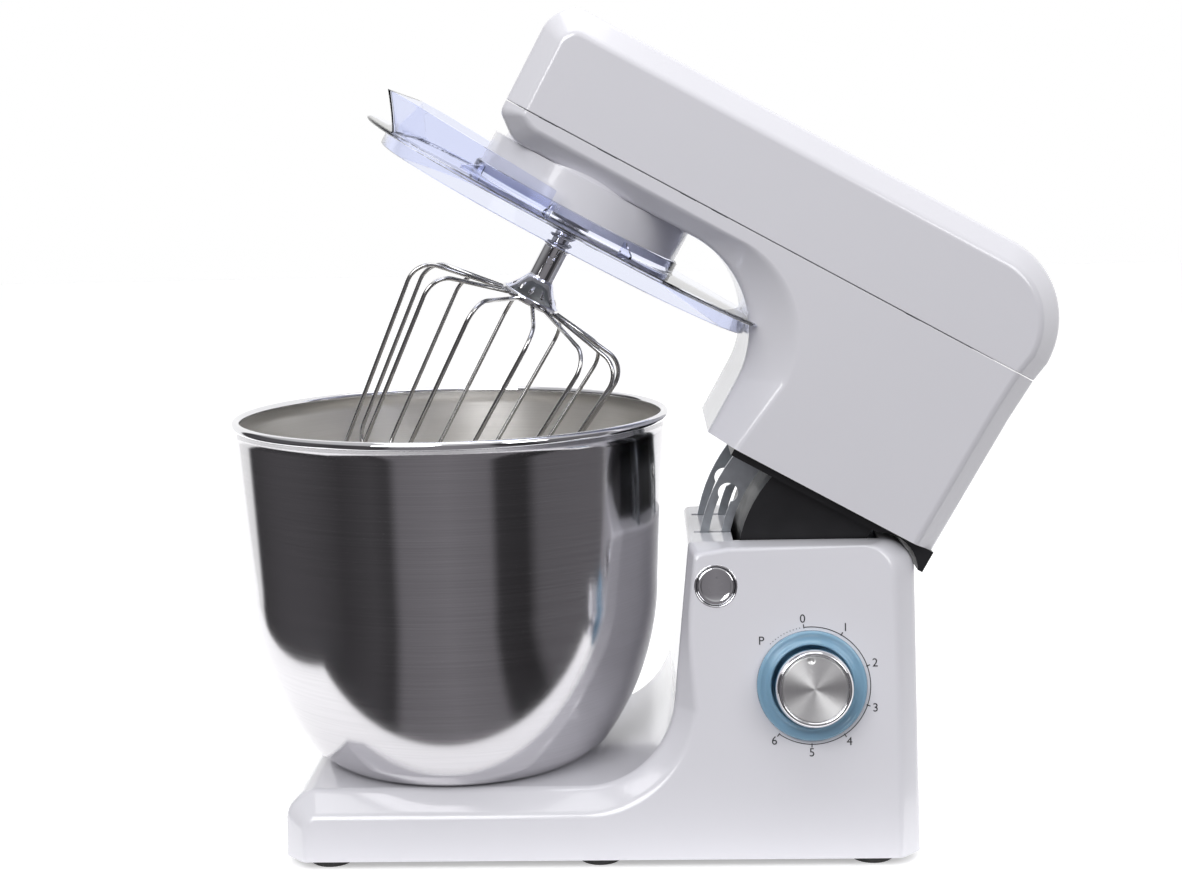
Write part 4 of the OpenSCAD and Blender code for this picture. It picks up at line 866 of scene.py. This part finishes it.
def knob_face():
    """Spun face: a slightly dished disc with a round dimple that marks the pointer. The dish falls with
    one less the square of the radius, and the dimple with one less the square of the distance."""
    rings, turns = 60, 144
    a = np.linspace(0, 2 * np.pi, turns, endpoint=False)
    r, a = np.meshgrid(np.linspace(0.0, FACE_R, rings), a, indexing="ij")
    x, y = r * np.cos(a), r * np.sin(a)
    z = KNOB_OUT - 0.0012 - 0.00025 * (1 - (r / r[-1, 0]) ** 2)
    distance = np.hypot(x - POINTER_R * math.cos(POINTER_ANGLE), y - POINTER_R * math.sin(POINTER_ANGLE))
    z = z - 0.0009 * np.clip(1 - (distance / 0.0016) ** 2, 0, 1)
    z[-1] -= 0.0012
    verts = np.stack([x, y, z], -1).reshape(-1, 3)
    faces = grid_faces(rings, turns, close_cols=True)
    face = new_piece("knob_face", on_wall(verts, *KNOB), faces, "knob", SPUN, "spun_metal")
    uv = face.data.uv_layers.new(name="rings")
    loops = np.empty(len(face.data.loops), np.int64)
    face.data.loops.foreach_get("vertex_index", loops)
    ring_and_angle = np.stack([(loops // turns) / rings, (loops % turns) / turns], -1)
    uv.data.foreach_set("uv", ring_and_angle.astype(np.float32).ravel())
    bm = bmesh.new()
    bm.from_mesh(face.data)
    bmesh.ops.remove_doubles(bm, verts=bm.verts, dist=1e-7)
    bm.to_mesh(face.data)
    bm.free()
    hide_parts("knob_cap")


def knob():
    """Bright knob turned in one profile, the shaft behind it and its spun face."""
    r, out = KNOB_R, KNOB_OUT
    profile = [(0.0, 0.0005), (r - 0.001, 0.0005), (r, 0.0015), (r, out - 0.0042),
               (r - 0.0001, out - 0.0030), (r - 0.0006, out - 0.0016), (r - 0.0014, out - 0.0006),
               (r - 0.0022, out - 0.0002), (r - 0.0028, out - 0.0007), (FACE_R, out - 0.0013),
               (FACE_R, out - 0.0035), (0.0, out - 0.0035)]
    verts, faces = lathe(profile, 128)
    rim = new_piece("knob_rim", on_wall(verts, *KNOB), faces, "knob", CHROME, "chrome")
    outward(rim)
    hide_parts("speed_knob")
    verts, faces = rod(0.003, -0.025, 0.001, 24)
    shaft = new_piece("knob_shaft", on_wall(verts, *KNOB), faces, "knob", ZINC, "zinc_steel")
    outward(shaft)
    knob_face()


def light_ring():
    """Dished translucent ring round the knob, with a raised outer lip and a stepped inner one."""
    i, o = 0.0212, 0.0286
    profile = [(i, -0.004), (i, 0.0030), (i + 0.0004, 0.0036), (i + 0.0010, 0.0038), (i + 0.0016, 0.0034),
               (i + 0.0022, 0.0026), (i + 0.0034, 0.0022), (o - 0.0022, 0.0030), (o - 0.0016, 0.0034),
               (o - 0.0008, 0.0032), (o - 0.0002, 0.0024), (o, 0.0012), (o, -0.004)]
    verts, faces = closed_lathe(profile, 144)
    ring = new_piece("light_ring_lens", on_wall(verts, *KNOB), faces, "base", LIGHT, "light_plastic")
    outward(ring)
    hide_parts("light_ring")
    bore, edge, low, high = 0.0034, 0.0283, -0.0055, -0.0042
    verts, faces = closed_lathe([(bore, low), (edge, low), (edge, high), (bore, high)], 96)
    back = new_piece("light_ring_back", on_wall(verts, *KNOB), faces, "base", LIGHT, "light_plastic")
    outward(back)


def flat_strip(centre, width, z0=0.00005, z1=0.00018):
    """A thin strip from z0 to z1, half its width to each side of a line of (right, up) points."""
    centre = np.asarray(centre, float)
    d = np.gradient(centre, axis=0)
    nrm = np.stack([-d[:, 1], d[:, 0]], -1)
    nrm /= np.linalg.norm(nrm, axis=1, keepdims=True)
    w, n = width / 2, len(centre)
    verts = np.concatenate([np.column_stack([centre + nrm * s, np.full(n, z)])
                            for s, z in ((w, z0), (w, z1), (-w, z1), (-w, z0))])
    faces = grid_faces(4, n, close_rows=True)
    return verts, faces + [[0, n, 2 * n, 3 * n], [n - 1, 4 * n - 1, 3 * n - 1, 2 * n - 1]]


MARKS = {"0": -7, "1": 31, "2": 71, "3": 110, "4": 147, "5": 181, "6": 215}    # degrees clockwise from up
SCALE_R, NUMBER_R, NUMBER_SIZE = 0.0304, 0.0348, 0.0062


def clock(angle, r):
    """The point (right, up) at a clock angle: r times its sine and its cosine."""
    return np.array([r * math.sin(math.radians(angle)), r * math.cos(math.radians(angle))])


def scale_arc():
    """Arc with a tick at each number, and a dotted arc on to P."""
    strips = [flat_strip([clock(a, SCALE_R) for a in np.linspace(-7, 215, 120)], 0.00042)]
    strips += [flat_strip([clock(a, SCALE_R - 0.0005), clock(a, SCALE_R + 0.0016)], 0.0005)
               for a in MARKS.values()]
    strips += [flat_strip([clock(a - 0.35, SCALE_R), clock(a + 0.35, SCALE_R)], 0.0005)
               for a in np.linspace(-44, -11, 11)]
    verts, faces = joined(strips)
    piece = new_piece("scale_arc", on_wall(verts, *KNOB), faces, "base", INK, "ink", smooth=False)
    outward(piece)
    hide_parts("dial_scale")


def scale_numbers():
    """The numbers 0 to 6 and the letter P, each centred on its clock angle and joined into one mesh."""
    bm = bmesh.new()
    for label, angle in {**MARKS, "P": -48}.items():
        curve = bpy.data.curves.new("digit", "FONT")
        curve.body = label
        curve.size = NUMBER_SIZE
        curve.extrude = 0.00006
        curve.align_x, curve.align_y = "CENTER", "CENTER"
        text = bpy.data.objects.new("digit", curve)
        bpy.context.scene.collection.objects.link(text)
        mesh = bpy.data.meshes.new_from_object(text.evaluated_get(bpy.context.evaluated_depsgraph_get()))
        bpy.data.objects.remove(text)
        shift = np.array([*clock(angle, NUMBER_R), 0.00008])
        move_points(mesh, lambda co: on_wall(co + shift, *KNOB))
        bm.from_mesh(mesh)
    mesh = bpy.data.meshes.new("scale_numbers")
    bmesh.ops.remove_doubles(bm, verts=bm.verts, dist=1e-7)
    bm.to_mesh(mesh)
    bm.free()
    mesh.materials.clear()
    mesh.materials.append(INK)
    numbers = bpy.data.objects.new("scale_numbers", mesh)
    bpy.context.scene.collection.objects.link(numbers)
    set_down(numbers, "base", "ink")


knob()
light_ring()
scale_arc()
scale_numbers()

# ------------------------------------------------------------------ release button

BUTTON_R = 0.0101
MM = 0.001


def release_button():
    """Bright cap with a dished face, a raised sign for a head that lifts, and the ring in the wall."""
    r, deep = BUTTON_R, -0.010
    profile = [(0.0, deep), (r, deep), (r, -0.0012), (r - 0.0004, -0.0004), (r - 0.0012, -0.0001),
               (r - 0.0022, -0.0003), (r - 0.0032, -0.0006), (0.0, -0.0006)]
    verts, faces = lathe(profile, 96)
    cap = new_piece("button_cap", on_wall(verts, *BUTTON), faces, "button", CHROME, "chrome")
    outward(cap)
    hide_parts("release_button")
    # the base, the raised head, the column, and an arrow that points up
    lines = [([(-4.2, -3.4), (4.2, -3.4)], 0.9), ([(-4.2, -0.6), (-1.0, -0.6), (3.8, 1.6)], 0.8),
             ([(-2.9, -3.2), (-2.9, -0.9)], 0.8), ([(0.6, 1.6), (0.6, 4.6)], 0.8),
             ([(-0.9, 3.2), (0.6, 4.8), (2.1, 3.2)], 0.8)]
    verts, faces = joined([flat_strip(np.array(line) * MM, width * MM, -0.0007, -0.00025)
                           for line, width in lines])
    sign = new_piece("button_sign", on_wall(verts, *BUTTON), faces, "button", CHROME, "chrome", smooth=False)
    outward(sign)
    bore, rim = 0.01035, BUTTON_HOLE_R
    verts, faces = closed_lathe([(bore, deep), (rim, deep), (rim, 0.0), (rim - 0.00015, 0.0003),
                                 (bore + 0.00025, 0.0003), (bore, -0.0001)], 96)
    bezel = new_piece("button_ring", on_wall(verts, *BUTTON), faces, "base", CHROME, "chrome")
    outward(bezel)
    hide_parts("button_bezel")


release_button()

# ------------------------------------------------------------------ feet

FOOT_X = (BOWL_X - 0.0624, BOWL_X + 0.0804, BOWL_X + 0.2232)
FOOT_Y = 0.0747


def rubber_feet():
    """Six feet turned in one profile, each with a hollow below."""
    profile = [(0.0, 0.0012), (0.0080, 0.0012), (0.0088, 0.0), (0.0108, 0.0), (0.0116, 0.0006),
               (0.0123, 0.0034), (0.0123, BASE_BOTTOM), (0.0, BASE_BOTTOM)]
    verts, faces = lathe(profile, 48)
    parts = [(verts + np.array([x, side * FOOT_Y, 0]), faces) for x in FOOT_X for side in (-1, 1)]
    feet = new_piece("rubber_feet", *joined(parts), "base", RUBBER, "rubber")
    outward(feet)
    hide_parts("feet")


rubber_feet()

# ------------------------------------------------------------------ camera, floor and light

CAMERA_PLACE = (0.0104, -0.9517, 0.3537)
YAW, PITCH, ROLL = -0.035, 0.149, -0.021    # from a level camera that looks along +Y
LENS, SENSOR = 52.83, 36.0
# the floor ends just outside the view in front, so that the bowl mirrors the dark room below it
FLOOR = [(-0.36, -0.124, 0), (0.30, -0.124, 0), (2.4, 6, 0), (-2.9, 6, 0)]
ROOM_SIDE = (-0.30, -0.954, 0.0)    # the direction of the dark room
# grey of the dark room from left to right
ROOM_GREYS = [(0.0, 0.10), (0.10, 0.055), (0.20, 0.075), (0.27, 0.05), (0.31, 0.19), (0.52, 0.23),
              (0.70, 0.19), (0.735, 0.045), (0.84, 0.035), (0.88, 0.14), (1.0, 0.16)]
CEILING = (0.55, 0.55, 0.56)
LOOK_AT = (0, 0, 0.2)


def set_camera():
    """A camera turned by yaw, pitch and roll: forward, right and up are square to each other, and roll
    turns right and up about forward."""
    f = np.array([math.sin(YAW) * math.cos(PITCH), math.cos(YAW) * math.cos(PITCH), -math.sin(PITCH)])
    r = np.array([math.cos(YAW), -math.sin(YAW), 0.0])
    u = np.cross(r, f)
    right = math.cos(ROLL) * r + math.sin(ROLL) * u
    up = -math.sin(ROLL) * r + math.cos(ROLL) * u
    data = bpy.data.cameras.new("camera")
    data.sensor_fit, data.sensor_width, data.lens = "HORIZONTAL", SENSOR, LENS
    data.clip_start, data.clip_end = 0.05, 50.0
    cam = bpy.data.objects.new("camera", data)
    bpy.context.scene.collection.objects.link(cam)
    turned = np.vstack([np.column_stack([right, up, -f, CAMERA_PLACE]), [0, 0, 0, 1]])
    cam.matrix_world = Matrix(turned.tolist())
    bpy.context.scene.camera = cam


def area_light(name, place, size, power):
    """A square lamp at a place, aimed at the middle of the mixer."""
    data = bpy.data.lights.new(name, "AREA")
    data.energy, data.size = power, size
    lamp = bpy.data.objects.new(name, data)
    bpy.context.scene.collection.objects.link(lamp)
    lamp.location = place
    lamp.rotation_mode = "QUATERNION"
    lamp.rotation_quaternion = (Vector(LOOK_AT) - Vector(place)).to_track_quat("-Z", "Y")


def surroundings():
    """A white world with a dark room on the camera's side. The room is where the direction's share
    along ROOM_SIDE is high and its height is low, each with a soft edge, and the ceiling above it is a
    little less than white."""
    world = bpy.data.worlds.new("studio")
    bpy.context.scene.world = world
    world.use_nodes = True
    tree = world.node_tree
    link = tree.links.new
    direction = node(tree, "TexCoord").outputs["Generated"]
    axes = node(tree, "SeparateXYZ")
    link(direction, axes.inputs[0])
    toward = node(tree, "VectorMath")
    toward.operation = "DOT_PRODUCT"
    toward.inputs[1].default_value = ROOM_SIDE
    link(direction, toward.inputs[0])
    front = node(tree, "MapRange", From_Min=-0.43, From_Max=-0.33)
    low = node(tree, "MapRange", From_Min=0.62, From_Max=0.30)
    front.interpolation_type = low.interpolation_type = "SMOOTHSTEP"
    link(toward.outputs["Value"], front.inputs["Value"])
    link(axes.outputs["Z"], low.inputs["Value"])
    room = node(tree, "Math")
    room.operation = "MULTIPLY"
    link(front.outputs[0], room.inputs[0])
    link(low.outputs[0], room.inputs[1])
    across = node(tree, "MapRange", From_Min=-1.0, From_Max=1.0)
    link(axes.outputs["X"], across.inputs["Value"])
    bands = node(tree, "ValToRGB")
    elements = bands.color_ramp.elements
    for k, (place, grey) in enumerate(ROOM_GREYS):
        e = elements[k] if k < 2 else elements.new(place)
        e.position = place
        e.color = (grey, grey * 0.96, grey * 1.02, 1)
    link(across.outputs[0], bands.inputs[0])
    # each mix's two colours are its inputs 6 and 7
    mix = node(tree, "Mix")
    mix.data_type = "RGBA"
    link(room.outputs[0], mix.inputs[0])
    link(color_mix(tree, front.outputs[0], (1, 1, 1), CEILING), mix.inputs[6])
    link(bands.outputs[0], mix.inputs[7])
    background = tree.nodes["Background"]
    link(mix.outputs[2], background.inputs["Color"])
    background.inputs["Strength"].default_value = 1.0


def studio():
    """The surroundings, a white floor that glows a little, and three lamps."""
    surroundings()
    floor = new_object("floor", FLOOR, [(0, 1, 2, 3)])
    m, _, b = shader("floor_white", (0.93, 0.93, 0.93), 0.6)
    b.inputs["Specular IOR Level"].default_value = 0.1
    b.inputs["Emission Color"].default_value = (1, 1, 1, 1)
    b.inputs["Emission Strength"].default_value = 0.40
    floor.data.materials.append(m)
    area_light("key", (-0.7, -1.7, 1.35), 1.1, 22)
    area_light("top", (0.0, 0.0, 1.8), 1.3, 10)
    area_light("right", (1.3, -1.4, 1.1), 0.8, 9)
    scene = bpy.context.scene
    scene.view_settings.view_transform = "Standard"
    scene.view_settings.look = "None"
    scene.view_settings.exposure = 0.0


set_camera()
studio()

bpy.context.view_layer.update()
